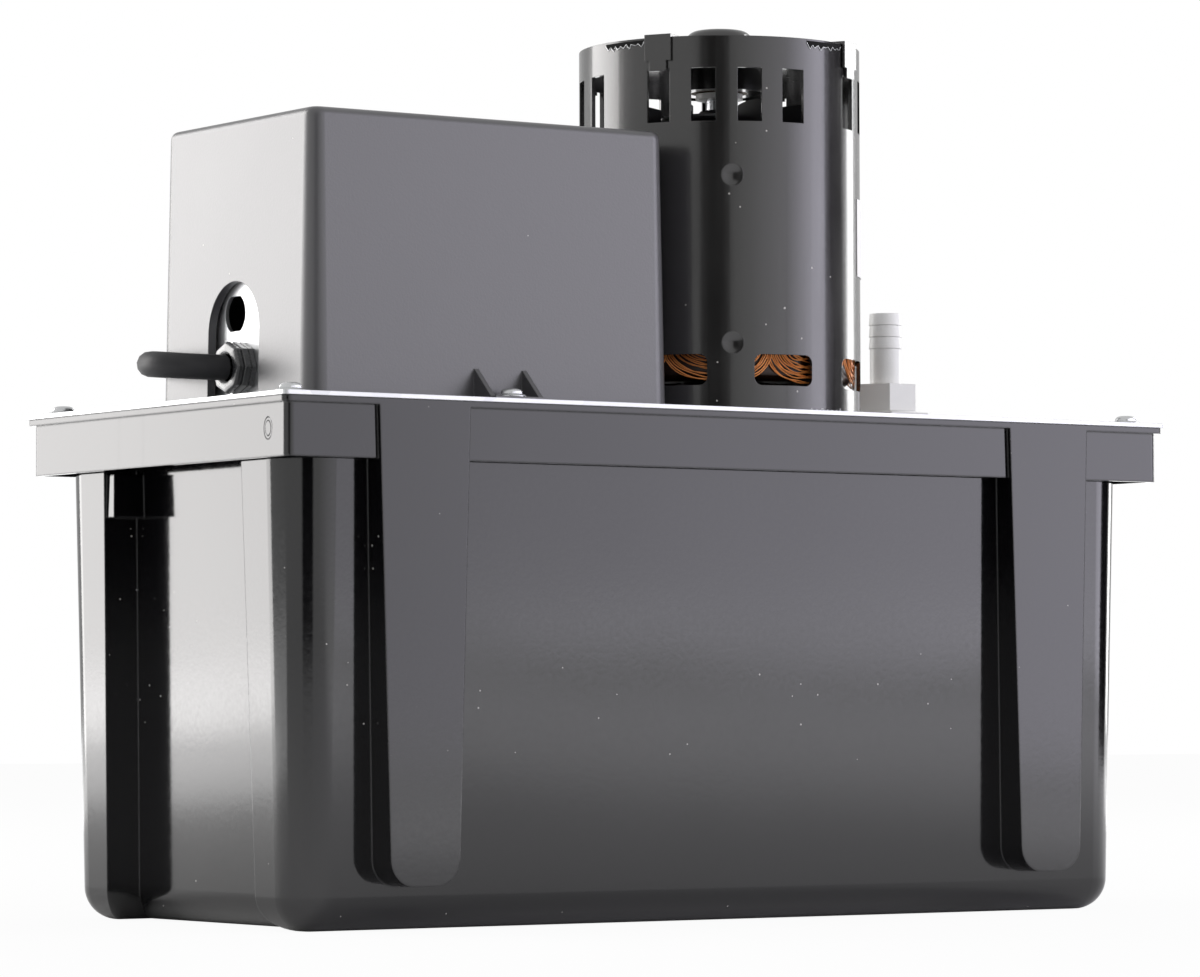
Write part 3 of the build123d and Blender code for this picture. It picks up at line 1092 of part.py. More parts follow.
for switch_name, switch_y in zip(("safety", "pump"), SWITCH_YS):
    save(f"{switch_name}_switch", make_switch_body(switch_y))
    save(f"{switch_name}_plunger", rod(PLUNGER_X, switch_y, PLUNGER_LOW, PLUNGER_TOP, PLUNGER_RADIUS))
save("switch_terminals", *make_terminals())
save("rocker", make_rocker())
save("float", make_float())
save("float_rod", make_float_rod())
save("float_clips", *make_rod_clips())
drive_reach = ROD_HEAD_RADIUS + ROCKER_CHEEK_GAP + ROCKER_CHEEK + 1
save("drive_pin", crossbar(FLOAT_X, DRIVE_PIN_Z, (-drive_reach, drive_reach), DRIVE_PIN_RADIUS))
save("rod_guide", make_rod_guide())
save("motor_shell", make_motor_shell())
save("motor_top_cap", make_top_cap())
save("motor_bottom_cap", make_bottom_cap())
save("motor_label", make_motor_label())
save("stator_core", make_stator_core())
save("stator_coils", make_stator_coils())
save("rotor_core", make_rotor_core())
save("motor_shaft", rod(MOTOR_X, 0, SHAFT_LOW, SHAFT_TOP, SHAFT_RADIUS))
save("upper_bearing", make_bearing(UPPER_BEARING))
save("lower_bearing", make_bearing(LOWER_BEARING))
save("thrust_washers", *make_thrust_washers())
save("cooling_fan", make_fan())
motor_screw_head = TANK_HEIGHT - COLUMN_FLANGE_THICKNESS
save("motor_screws", *[screw(x, y, motor_screw_head, 8, up=-1) for x, y in MOTOR_SCREWS])
save("motor_leads", make_motor_leads())
save("lead_grommet", make_lead_grommet())
save("water_slinger", ring(MOTOR_X, 0, SLINGER_Z - 1, SLINGER_Z + 1, SLINGER_RADIUS, SHAFT_RADIUS))
save("pump_column", make_pump_column())
save("volute", make_volute())
save("volute_cover", make_volute_cover())
volute_head = VOLUTE_LOW - 2.5
save("volute_screws", *[screw(x, y, volute_head, 10, VOLUTE_SCREW_RADIUS, 2.2, -1) for x, y in VOLUTE_SCREWS])
save("intake_screen", make_intake_screen())
save("impeller", make_impeller())
save("discharge_pipe", make_discharge_pipe())
save("check_valve", make_check_valve())
save("valve_nut", make_valve_nut())
save("valve_poppet", make_poppet())
save("valve_spring", make_valve_spring())
save("discharge_outlet", make_outlet())
save("power_cord", cord_tube(CORD_ROUTE, "cord"))
save("cord_tail", cord_tube(TAIL_ROUTE, "tail"))
save("cord_coil", make_cord_coil())
save("coil_tie", make_coil_tie())
save("plug_body", make_plug_body())
save("plug_blades", *make_plug_blades())
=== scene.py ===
"""Condensate pump: finishes and finer pieces fitted over its CAD frame.

Frame: +Z up, +X towards the motor end, origin at the middle of the tank's foot. Lengths in metres.
"""
from __future__ import annotations

import logging
import math
from dataclasses import dataclass
from enum import Enum
from typing import Protocol, Sequence, Union

import bpy
import numpy as np
from mathutils import Matrix, Vector

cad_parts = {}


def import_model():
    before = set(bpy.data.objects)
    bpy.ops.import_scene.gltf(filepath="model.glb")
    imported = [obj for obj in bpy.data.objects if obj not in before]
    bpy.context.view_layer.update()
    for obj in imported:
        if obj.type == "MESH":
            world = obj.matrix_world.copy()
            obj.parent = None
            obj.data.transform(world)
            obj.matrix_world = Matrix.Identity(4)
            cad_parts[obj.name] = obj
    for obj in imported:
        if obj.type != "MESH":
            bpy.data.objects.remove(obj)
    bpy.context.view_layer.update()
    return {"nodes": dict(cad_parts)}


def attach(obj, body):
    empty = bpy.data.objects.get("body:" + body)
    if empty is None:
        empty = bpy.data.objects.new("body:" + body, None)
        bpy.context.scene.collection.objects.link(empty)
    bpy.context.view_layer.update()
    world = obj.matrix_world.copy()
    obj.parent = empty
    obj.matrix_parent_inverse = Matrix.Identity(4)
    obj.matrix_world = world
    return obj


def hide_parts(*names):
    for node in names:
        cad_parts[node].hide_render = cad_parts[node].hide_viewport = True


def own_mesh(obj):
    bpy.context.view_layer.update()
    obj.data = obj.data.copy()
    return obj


log = logging.getLogger("condensate_pump")

MM = 0.001
MOTOR_X = 41.5 * MM
PLATE_TOP = 144.2 * MM
AIM_HEIGHT = 0.13
FLOOR_HALF = 4.0
SENSOR_WIDTH = 36
FULL_TURN = 2 * math.pi
Colour = tuple[float, float, float]
DUST: Colour = (0.62, 0.6, 0.58)
BARE_CHIP: Colour = (0.6, 0.58, 0.55)
BURNT_VARNISH: Colour = (0.16, 0.09, 0.045)
AMBER_VARNISH: Colour = (0.3, 0.09, 0.025)
LINT: Colour = (0.4, 0.4, 0.4)
WATER_STAIN: Colour = (0.42, 0.34, 0.2)
PAPER_SOIL: Colour = (0.6, 0.57, 0.5)
WHITE: Colour = (1, 1, 1)
Value = Union["Expr", float, int, tuple]


# ---------------------------------------------------------------- shader expressions
class Expr:
    """A value in a material: one output socket, on which Python's operators build Math nodes."""

    def __init__(self, sheet: "NodeSheet", socket: bpy.types.NodeSocket) -> None:
        """Wrap a socket.

        Args:
            sheet: the material's node sheet.
            socket: the output socket that carries the value.
        """
        self.sheet = sheet
        self.socket = socket

    def _math(self, operation: str, *operands: Value) -> "Expr":
        """Add a Math node.

        Args:
            operation: the node's operation.
            operands: its inputs in order.

        Returns:
            The node's result.
        """
        values = dict(enumerate(operands))
        return self.sheet.node("ShaderNodeMath", {"operation": operation}, values)

    def __add__(self, other: Value) -> "Expr":
        """self + other."""
        return self._math("ADD", self, other)

    def __radd__(self, other: Value) -> "Expr":
        """other + self."""
        return self._math("ADD", other, self)

    def __sub__(self, other: Value) -> "Expr":
        """self - other."""
        return self._math("SUBTRACT", self, other)

    def __rsub__(self, other: Value) -> "Expr":
        """other - self."""
        return self._math("SUBTRACT", other, self)

    def __mul__(self, other: Value) -> "Expr":
        """self * other."""
        return self._math("MULTIPLY", self, other)

    def __rmul__(self, other: Value) -> "Expr":
        """other * self."""
        return self._math("MULTIPLY", other, self)

    def over(self, edge: Value) -> "Expr":
        """1 where self is greater than the edge, and 0 elsewhere."""
        return self._math("GREATER_THAN", self, edge)

    def under(self, edge: Value) -> "Expr":
        """1 where self is less than the edge, and 0 elsewhere."""
        return self._math("LESS_THAN", self, edge)

    def sine(self) -> "Expr":
        """The sine of self, in radians."""
        return self._math("SINE", self)

    def size(self) -> "Expr":
        """self without its sign."""
        return self._math("ABSOLUTE", self)

    def clamped(self) -> "Expr":
        """self held between 0 and 1."""
        return self.sheet.node("ShaderNodeClamp", {}, {"Value": self})

    def fade(self, low: float, high: float) -> "Expr":
        """self eased from 0 at low to 1 at high.

        Args:
            low: where the result is 0.
            high: where the result is 1.

        Returns:
            The eased value.
        """
        values = {"Value": self, "From Min": low, "From Max": high}
        return self.sheet.node("ShaderNodeMapRange", {"interpolation_type": "SMOOTHSTEP"}, values)


class NodeSheet:
    """The node tree of one material, written as expressions."""

    def __init__(self, name: str) -> None:
        """Start an empty material.

        Args:
            name: the material's name.
        """
        self.material = bpy.data.materials.new(name)
        self.material.use_nodes = True
        self.tree = self.material.node_tree
        self.tree.nodes.clear()
        self.output = self.tree.nodes.new("ShaderNodeOutputMaterial")

    def node(self, kind: str, settings: dict, values: dict, output: Union[int, str] = 0) -> Expr:
        """Add any node.

        Args:
            kind: the node's type.
            settings: its properties, set before its sockets.
            values: each input's value or link, by name or number.
            output: the output that is returned.

        Returns:
            The chosen output.
        """
        made = self.tree.nodes.new(kind)
        for key, value in settings.items():
            setattr(made, key, value)
        for key, value in values.items():
            if isinstance(value, Expr):
                self.tree.links.new(value.socket, made.inputs[key])
            else:
                made.inputs[key].default_value = value
        return Expr(self, made.outputs[output])

    def place(self) -> Expr:
        """The point on the object, in metres."""
        return self.node("ShaderNodeTexCoord", {}, {}, "Object")

    def axis(self, letter: str) -> Expr:
        """One coordinate of the point on the object.

        Args:
            letter: X, Y or Z.

        Returns:
            That coordinate, in metres.
        """
        return self.node("ShaderNodeSeparateXYZ", {}, {0: self.place()}, letter)

    def moved(self, centre: Colour, scale: Colour = (1, 1, 1)) -> Expr:
        """The point on the object measured from a centre, and stretched.

        Args:
            centre: the point that becomes the origin.
            scale: the stretch along each axis.

        Returns:
            The new coordinates.
        """
        shift = tuple(-c * s for c, s in zip(centre, scale))
        return self.node("ShaderNodeMapping", {}, {"Vector": self.place(), "Location": shift, "Scale": scale})

    def noise(self, scale: float, detail: float = 2, at: Union[Expr, None] = None, bend: float = 0) -> Expr:
        """Soft noise from 0 to 1.

        Args:
            scale: features per metre.
            detail: number of finer layers.
            at: the coordinates, or the point on the object.
            bend: distortion.

        Returns:
            The noise.
        """
        values = {"Vector": at or self.place(), "Scale": scale, "Detail": detail, "Distortion": bend}
        return self.node("ShaderNodeTexNoise", {}, values)

    def cells(self, scale: float, wanted: str = "Distance") -> Expr:
        """A cell pattern.

        Args:
            scale: cells per metre.
            wanted: Distance from a cell's middle, or each cell's Color.

        Returns:
            The pattern.
        """
        return self.node("ShaderNodeTexVoronoi", {}, {"Vector": self.place(), "Scale": scale}, wanted)

    def grey(self, colour: Expr) -> Expr:
        """A colour's lightness."""
        return self.node("ShaderNodeRGBToBW", {}, {0: colour})

    def blend(self, factor: Value, first: Value, second: Value) -> Expr:
        """Two colours mixed.

        Args:
            factor: the share of the second.
            first: a colour.
            second: a colour.

        Returns:
            The mixed colour.
        """
        first = (*first, 1) if isinstance(first, tuple) else first
        second = (*second, 1) if isinstance(second, tuple) else second
        return self.node("ShaderNodeMix", {"data_type": "RGBA"}, {0: factor, 6: first, 7: second}, 2)

    def relief(self, height: Value, depth: float, normal: Union[Expr, None] = None) -> Expr:
        """A surface pushed in and out.

        Args:
            height: the height from 0 to 1.
            depth: the height that 1 stands for, in metres.
            normal: the surface's direction before it.

        Returns:
            The new direction.
        """
        values = {"Strength": 1.0, "Distance": depth, "Height": height}
        if normal:
            values["Normal"] = normal
        return self.node("ShaderNodeBump", {}, values)

    def eased_edges(self, radius: float) -> Expr:
        """The surface's direction with its corners rounded over.

        Args:
            radius: the rounding, in metres.

        Returns:
            The direction.
        """
        return self.node("ShaderNodeBevel", {"samples": 4}, {"Radius": radius})

    def specks(self, scale: float, size: float, share: float) -> Expr:
        """Small scattered marks, as a mask.

        Args:
            scale: places for a mark per metre.
            size: the mark's radius as a share of its place.
            share: the share of the places that have one.

        Returns:
            1 on a mark and 0 elsewhere.
        """
        chance = self.grey(self.cells(scale, wanted="Color"))
        return self.cells(scale).under(chance * size) * chance.over(1 - share)

    def reach(self, at: Union[Expr, None] = None) -> Expr:
        """The distance from the origin of some coordinates.

        Args:
            at: the coordinates, or the point on the object.

        Returns:
            The distance.
        """
        return self.node("ShaderNodeVectorMath", {"operation": "LENGTH"}, {0: at or self.place()}, "Value")

    def finish(self, **sockets: Value) -> bpy.types.Material:
        """Close the sheet with a Principled shader.

        Args:
            sockets: its inputs, with an underscore for each space in a name.

        Returns:
            The finished material.
        """
        values = {key.replace("_", " "): value for key, value in sockets.items()}
        colour = values.get("Base Color")
        if isinstance(colour, tuple):
            values["Base Color"] = (*colour, 1)
        shader = self.node("ShaderNodeBsdfPrincipled", {}, values)
        self.tree.links.new(shader.socket, self.output.inputs["Surface"])
        return self.material


# ---------------------------------------------------------------- finishes
@dataclass(frozen=True)
class Coating:
    """What every finish has: its material's name, and a colour that it is drawn in tones of."""

    name: str
    colour: Colour

    def tone(self, factor: float) -> Colour:
        """The colour made lighter or darker, at most 1 in each channel."""
        return tuple(min(1, channel * factor) for channel in self.colour)

    def tinted(self, sheet: NodeSheet, pattern: Expr, dark: float, light: float) -> Expr:
        """The colour clouded by a pattern.

        Args:
            sheet: the material's node sheet.
            pattern: 0 where the dark tone shows and 1 where the light one does.
            dark: the dark tone's factor.
            light: the light tone's factor.

        Returns:
            The mixed colour.
        """
        return sheet.blend(pattern, self.tone(dark), self.tone(light))


@dataclass(frozen=True)
class Moulding(Coating):
    """Injection-moulded plastic: a grained or glossy skin with flow marks, dust and rounded edges."""

    roughness: float = 0.4
    grain: float = 1600
    grain_depth: float = 0.00002
    sink: float = 0.0
    dust: float = 0.0
    specular: float = 0.5
    coat: float = 0.0
    edge: float = 0.0004
    gates: tuple[Colour, ...] = ()
    partings: tuple[float, ...] = ()
    end_face: float = 0.0

    def witness(self, sheet: NodeSheet) -> Expr:
        """The mould's traces: a ring at each gate, and upright parting lines on the end face at x < end_face.

        Args:
            sheet: the material's node sheet.

        Returns:
            1 on a trace and 0 elsewhere.
        """
        traces = sheet.axis("X") * 0
        for gate in self.gates:
            away = sheet.reach(sheet.moved(gate, (500, 560, 400)))
            traces = traces + (1 - (away - 1).size().fade(0.08, 0.3))
        on_end = sheet.axis("X").under(self.end_face)
        for place in self.partings:
            traces = traces + (sheet.axis("Y") - place).size().under(0.00013) * on_end
        return traces.clamped()

    def make(self) -> bpy.types.Material:
        """Build the material."""
        sheet = NodeSheet(self.name)
        flow = sheet.noise(14, 3, bend=0.6)
        fine = sheet.noise(self.grain, 2)
        tint = self.tinted(sheet, flow, 0.82, 1.16)
        dusty = sheet.specks(330, 0.1, self.dust) + sheet.specks(150, 0.04, self.dust * 1.5)
        dusty = dusty.clamped()
        tint = sheet.blend(dusty * 0.75, tint, DUST)
        rough = flow * 0.08 + (fine - 0.5) * 0.1 + dusty * 0.3 + (self.roughness - 0.04)
        direction = sheet.relief(fine, self.grain_depth, sheet.eased_edges(self.edge))
        if self.gates or self.partings:
            direction = sheet.relief(1 - self.witness(sheet), 0.0004, direction)
        if self.sink:
            direction = sheet.relief(sheet.noise(9, 1), self.sink, direction)
        return sheet.finish(
            Base_Color=tint, Roughness=rough.clamped(), Normal=direction, Specular_IOR_Level=self.specular,
            Coat_Weight=self.coat, Coat_Roughness=self.roughness,
        )


@dataclass(frozen=True)
class Enamel(Coating):
    """Baked black enamel on drawn steel: orange peel, draw marks up the wall and a few chips."""

    def make(self) -> bpy.types.Material:
        """Build the material."""
        sheet = NodeSheet(self.name)
        cloud = sheet.noise(35, 3)
        draw = sheet.noise(1, 3, at=sheet.moved((0.0415, 0, 0), (900, 900, 25)))
        chips = (sheet.specks(300, 0.085, 0.2) + sheet.specks(170, 0.06, 0.3)).clamped()
        tint = self.tinted(sheet, cloud, 0.75, 1.3)
        tint = sheet.blend(chips * 0.8, tint, BARE_CHIP)
        rough = cloud * 0.1 + draw * 0.1 + chips * 0.3 + 0.13
        direction = sheet.relief(sheet.noise(420, 2), 0.00002, sheet.eased_edges(0.0003))
        direction = sheet.relief(draw, 0.000006, direction)
        return sheet.finish(
            Base_Color=tint, Roughness=rough.clamped(), Normal=direction, Specular_IOR_Level=1.0,
            Coat_Weight=0.55, Coat_Roughness=0.08,
        )


@dataclass(frozen=True)
class ZincSheet(Coating):
    """Zinc-coated sheet steel with a faint spangle and rolling marks."""

    spangle: float = 90

    def make(self) -> bpy.types.Material:
        """Build the material."""
        sheet = NodeSheet(self.name)
        flakes = sheet.grey(sheet.cells(self.spangle, wanted="Color"))
        rolled = sheet.noise(1, 2, at=sheet.moved((0, 0, 0), (12, 900, 900)))
        tint = self.tinted(sheet, flakes, 0.86, 1.1)
        rough = flakes * 0.14 + rolled * 0.1 + 0.26
        direction = sheet.relief(rolled, 0.00001, sheet.eased_edges(0.0003))
        return sheet.finish(Base_Color=tint, Metallic=0.92, Roughness=rough.clamped(), Normal=direction)


@dataclass(frozen=True)
class BareMetal(Coating):
    """Machined, plated or sintered metal with fine tool marks across an axis, and pits."""

    roughness: float = 0.25
    marks: Colour = (40, 40, 2600)
    pits: float = 0.0

    def make(self) -> bpy.types.Material:
        """Build the material."""
        sheet = NodeSheet(self.name)
        tooled = sheet.noise(1, 2, at=sheet.moved((0, 0, 0), self.marks))
        cloud = sheet.noise(160, 3)
        pitted = sheet.specks(2400, 0.4, self.pits)
        tint = self.tinted(sheet, cloud, 0.84, 1.08)
        tint = sheet.blend(pitted * 0.6, tint, self.tone(0.35))
        rough = tooled * 0.14 + cloud * 0.08 + (self.roughness - 0.08)
        direction = sheet.relief(tooled, 0.000012, sheet.eased_edges(0.00025))
        return sheet.finish(Base_Color=tint, Metallic=1.0, Roughness=rough.clamped(), Normal=direction)


@dataclass(frozen=True)
class Laminations(Coating):
    """Stacked electrical steel: half-millimetre sheets seen as fine lines, with burnt varnish."""

    def make(self) -> bpy.types.Material:
        """Build the material."""
        sheet = NodeSheet(self.name)
        line = ((sheet.axis("Z") * (FULL_TURN / 0.0005)).sine() * 0.5 + 0.5).fade(0.15, 0.5)
        cloud = sheet.noise(90, 3)
        tint = sheet.blend(line, self.tone(0.35), self.colour)
        tint = sheet.blend(cloud.fade(0.5, 0.75) * 0.6, tint, BURNT_VARNISH)
        direction = sheet.relief(line, 0.00004, sheet.eased_edges(0.0002))
        return sheet.finish(Base_Color=tint, Metallic=0.75, Roughness=cloud * 0.25 + 0.35, Normal=direction)


@dataclass(frozen=True)
class MagnetWire(Coating):
    """Enamelled copper wire under baking varnish."""

    # shade scales the whole colour; the stator coils' dark copper uses it as painted shade
    shade: float = 1.0

    def make(self) -> bpy.types.Material:
        """Build the material."""
        sheet = NodeSheet(self.name)
        cloud = sheet.noise(220, 3)
        varnish = sheet.noise(60, 2).fade(0.45, 0.7)
        tint = self.tinted(sheet, cloud, 0.55 * self.shade, 1.15 * self.shade)
        amber = tuple(channel * self.shade for channel in AMBER_VARNISH)
        tint = sheet.blend(varnish * 0.55, tint, amber)
        rough = cloud * 0.2 + varnish * 0.15 + 0.22
        direction = sheet.relief(sheet.noise(1500, 1), 0.00002)
        return sheet.finish(
            Base_Color=tint, Metallic=0.55, Roughness=rough, Normal=direction,
            Coat_Weight=0.5, Coat_Roughness=0.2,
        )


@dataclass(frozen=True)
class RubberJacket(Coating):
    """Satin black jacket: a fine matt bloom, a fine grain and dust."""

    roughness: float = 0.5

    def make(self) -> bpy.types.Material:
        """Build the material."""
        sheet = NodeSheet(self.name)
        bloom = sheet.noise(70, 4)
        fine = sheet.noise(2200, 2)
        lint = sheet.specks(300, 0.1, 0.1)
        tint = self.tinted(sheet, bloom, 0.7, 1.6)
        tint = sheet.blend(lint * 0.4, tint, LINT)
        rough = bloom * 0.16 + fine * 0.08 + (self.roughness - 0.1)
        direction = sheet.relief(fine, 0.000025, sheet.eased_edges(0.0003))
        return sheet.finish(Base_Color=tint, Roughness=rough.clamped(), Normal=direction)


@dataclass(frozen=True)
class FoamedFloat(Coating):
    """Closed-cell float moulding: tiny cells under a skin, with water stains low down."""

    def make(self) -> bpy.types.Material:
        """Build the material."""
        sheet = NodeSheet(self.name)
        bubbles = sheet.cells(900)
        stain = sheet.noise(45, 3) * (1 - sheet.axis("Z").fade(0.022, 0.058))
        tint = sheet.blend(bubbles.fade(0.2, 0.7), self.colour, self.tone(0.86))
        tint = sheet.blend(stain.clamped() * 0.7, tint, WATER_STAIN)
        direction = sheet.relief(bubbles, 0.00012, sheet.eased_edges(0.0006))
        return sheet.finish(Base_Color=tint, Roughness=stain * 0.2 + 0.55, Normal=direction)


@dataclass(frozen=True)
class LabelStock(Coating):
    """Blank label paper with a soft fibre and light soiling, and nothing printed on it."""

    def make(self) -> bpy.types.Material:
        """Build the material."""
        sheet = NodeSheet(self.name)
        fibre = sheet.noise(1, 4, at=sheet.moved((0.0415, 0, 0.2), (800, 800, 240)))
        soil = sheet.noise(55, 3).fade(0.55, 0.8)
        tint = sheet.blend(fibre, self.tone(0.93), self.colour)
        tint = sheet.blend(soil * 0.25, tint, PAPER_SOIL)
        direction = sheet.relief(fibre, 0.00003)
        return sheet.finish(Base_Color=tint, Roughness=fibre * 0.15 + 0.38, Normal=direction)


class Finish(Enum):
    """The finishes of the pump's nodes and pieces."""

    TANK_PLASTIC = Moulding(
        "tank_plastic", (0.0028, 0.0027, 0.0033), roughness=0.09, grain=700, grain_depth=0.000006,
        sink=0.0004, dust=0.16, specular=0.85, coat=0.3, edge=0.0007,
        gates=((-0.1506, -0.0613, 0.1345),), partings=(0.0066, 0.0205), end_face=-0.1495,
    )
    COVER_PLASTIC = Moulding(
        "cover_plastic", (0.045, 0.044, 0.049), roughness=0.38, grain=1500, grain_depth=0.00004,
        dust=0.13, specular=1.0, coat=1.0, edge=0.0005,
    )
    GALVANISED = ZincSheet("galvanised", (0.78, 0.79, 0.8))
    ZINC_SCREW = BareMetal("zinc_screw", (0.8, 0.81, 0.82), 0.22, (300, 300, 900))
    MOTOR_PAINT = Enamel("motor_paint", (0.009, 0.0085, 0.008))
    LABEL_WHITE = LabelStock("label_white", (0.86, 0.86, 0.85))
    # the stator coils' copper darkened to near black: painted shade between and behind the wound strands
    COPPER_IN_PAINTED_SHADE = MagnetWire("copper", (0.5, 0.16, 0.05), 0.05)
    COPPER_STRAND = MagnetWire("copper_strand", (0.95, 0.3, 0.07), 1.1)
    LAMINATION = Laminations("lamination", (0.2, 0.2, 0.21))
    ROTOR_METAL = BareMetal("rotor_metal", (0.6, 0.6, 0.62), 0.4, (60, 60, 1900), 0.1)
    SHAFT_STEEL = BareMetal("shaft_steel", (0.6, 0.61, 0.63), 0.2)
    BEARING_BRONZE = BareMetal("bearing_bronze", (0.17, 0.12, 0.07), 0.5, (90, 90, 1500), 0.35)
    FAN_PLASTIC = Moulding("fan_plastic", (0.01, 0.01, 0.011), roughness=0.5, dust=0.1)
    FAN_PLATE = BareMetal("fan_plate", (0.82, 0.82, 0.83), 0.45, (90, 90, 1400))
    # near-black matt strips: painted shade in the motor rim's crimp slits
    CRIMP_SLIT_PAINTED_SHADE = RubberJacket("crimp_gap_painted_shade", (0.0015, 0.0015, 0.0016), 0.95)
    BLACK_RUBBER = RubberJacket("black_rubber", (0.018, 0.018, 0.02))
    BLACK_NYLON = Moulding(
        "black_nylon", (0.012, 0.0125, 0.0145), 0.26, grain=1100, dust=0.08, specular=1.0, coat=0.9,
    )
    PUMP_PLASTIC = Moulding("pump_plastic", (0.05, 0.05, 0.055), roughness=0.36, sink=0.0001)
    IMPELLER_PLASTIC = Moulding("impeller_plastic", (0.12, 0.12, 0.13), roughness=0.35)
    FLOAT_FOAM = FoamedFloat("float_foam", (0.75, 0.73, 0.66))
    WHITE_NYLON = Moulding("white_nylon", (0.86, 0.86, 0.84), roughness=0.34)
    SWITCH_CASE = Moulding("switch_case", (0.08, 0.08, 0.08), roughness=0.45, grain=2200)
    SPRING_STEEL = BareMetal("spring_steel", (0.7, 0.7, 0.7), 0.2, (1200, 1200, 1200))
    TERMINAL_BRASS = BareMetal("terminal_brass", (0.75, 0.62, 0.3), 0.26, (900, 60, 60))
    WIRE_COVER = RubberJacket("wire_cover", (0.12, 0.12, 0.13), 0.42)


# The CAD nodes that stay in view, by their finish
FINISH_NODES: dict[Finish, str] = {
    Finish.TANK_PLASTIC: "tank",
    Finish.GALVANISED: "cover_plate wiring_bracket switch_bracket",
    Finish.BLACK_NYLON: "inlet_plug coil_tie",
    Finish.COVER_PLASTIC: "switch_cover",
    Finish.ZINC_SCREW: "bracket_screws switch_screws motor_screws volute_screws",
    Finish.WIRE_COVER: "supply_leads motor_leads",
    Finish.SHAFT_STEEL: "pivot_pin float_rod drive_pin motor_shaft",
    Finish.SWITCH_CASE: "pump_switch safety_switch",
    Finish.WHITE_NYLON: (
        "pump_plunger safety_plunger rocker rod_guide thrust_washers discharge_pipe check_valve "
        "valve_nut discharge_outlet"
    ),
    Finish.TERMINAL_BRASS: "switch_terminals plug_blades",
    Finish.FLOAT_FOAM: "float",
    Finish.SPRING_STEEL: "float_clips",
    Finish.MOTOR_PAINT: "motor_shell motor_top_cap motor_bottom_cap",
    Finish.LABEL_WHITE: "motor_label",
    Finish.LAMINATION: "stator_core",
    Finish.COPPER_IN_PAINTED_SHADE: "stator_coils",
    Finish.ROTOR_METAL: "rotor_core",
    Finish.BEARING_BRONZE: "upper_bearing lower_bearing",
    Finish.BLACK_RUBBER: "lead_grommet water_slinger plug_body",
    Finish.PUMP_PLASTIC: "pump_column volute volute_cover intake_screen",
    Finish.IMPELLER_PLASTIC: "impeller valve_poppet",
}


class Wardrobe:
    """Makes each finish once and dresses objects in it."""

    def __init__(self) -> None:
        """Start with no finish made."""
        self.made: dict[Finish, bpy.types.Material] = {}

    def material(self, finish: Finish) -> bpy.types.Material:
        """The material of a finish, made the first time it is asked for."""
        if finish not in self.made:
            self.made[finish] = finish.value.make()
        return self.made[finish]

    def dress(self, piece: bpy.types.Object, finish: Finish) -> None:
        """Give an object one finish all over.

        Args:
            piece: the mesh or curve object.
            finish: its finish.
        """
        piece.data.materials.clear()
        piece.data.materials.append(self.material(finish))


# ---------------------------------------------------------------- surfaces
def as_object(
    name: str, points: np.ndarray, faces: Sequence[np.ndarray], sharp: float = 40
) -> bpy.types.Object:
    """Make a mesh object, smooth except across sharp edges.

    Args:
        name: the object's name.
        points: its vertices, (n, 3), in metres.
        faces: arrays of faces, each with the same number of corners in every row.
        sharp: the angle in degrees from which an edge is sharp.

    Returns:
        The object, at the origin.
    """
    rows = [row for part in faces for row in part.tolist()]
    mesh = bpy.data.meshes.new(name)
    mesh.from_pydata(points.tolist(), [], rows)
    mesh.update()
    mesh.polygons.foreach_set("use_smooth", np.ones(len(rows), bool))
    mesh.set_sharp_from_angle(angle=math.radians(sharp))
    made = bpy.data.objects.new(name, mesh)
    bpy.context.scene.collection.objects.link(made)
    return made


def grid_faces(rows: int, columns: int, closed: bool = False) -> np.ndarray:
    """The four-sided faces of a grid of points whose columns close on themselves.

    Args:
        rows: points along the first parameter.
        columns: points along the second.
        closed: whether the last row also joins the first, as round a ring.

    Returns:
        The faces, (n, 4).
    """
    u = np.arange(rows if closed else rows - 1)[:, None]
    v = np.arange(columns)[None, :]
    below, after = (u + 1) % rows, (v + 1) % columns
    corners = [u * columns + v, u * columns + after, below * columns + after, below * columns + v]
    return np.stack([c.ravel() for c in corners], axis=1)


def end_faces(rows: int, columns: int) -> np.ndarray:
    """The two many-sided faces that close a grid's first and last row.

    Args:
        rows: points along the first parameter.
        columns: points along the second.

    Returns:
        The faces, (2, columns).
    """
    loop = np.arange(columns)
    return np.stack([loop[::-1], loop + (rows - 1) * columns])


def on_motor(radius: np.ndarray, azimuth: np.ndarray, height: np.ndarray) -> np.ndarray:
    """Points round the motor's axis: (x0 + r cos a, r sin a, z).

    Args:
        radius: distances from the axis.
        azimuth: angles from +X.
        height: heights above the floor.

    Returns:
        The points, with their coordinates along the last axis.
    """
    spread = np.broadcast_arrays(MOTOR_X + radius * np.cos(azimuth), radius * np.sin(azimuth), height)
    return np.stack(spread, axis=-1)


def from_motor(paths: np.ndarray) -> np.ndarray:
    """The level direction from the motor's axis to each point of some paths."""
    return (paths - np.array([MOTOR_X, 0, 0])) * np.array([1, 1, 0])


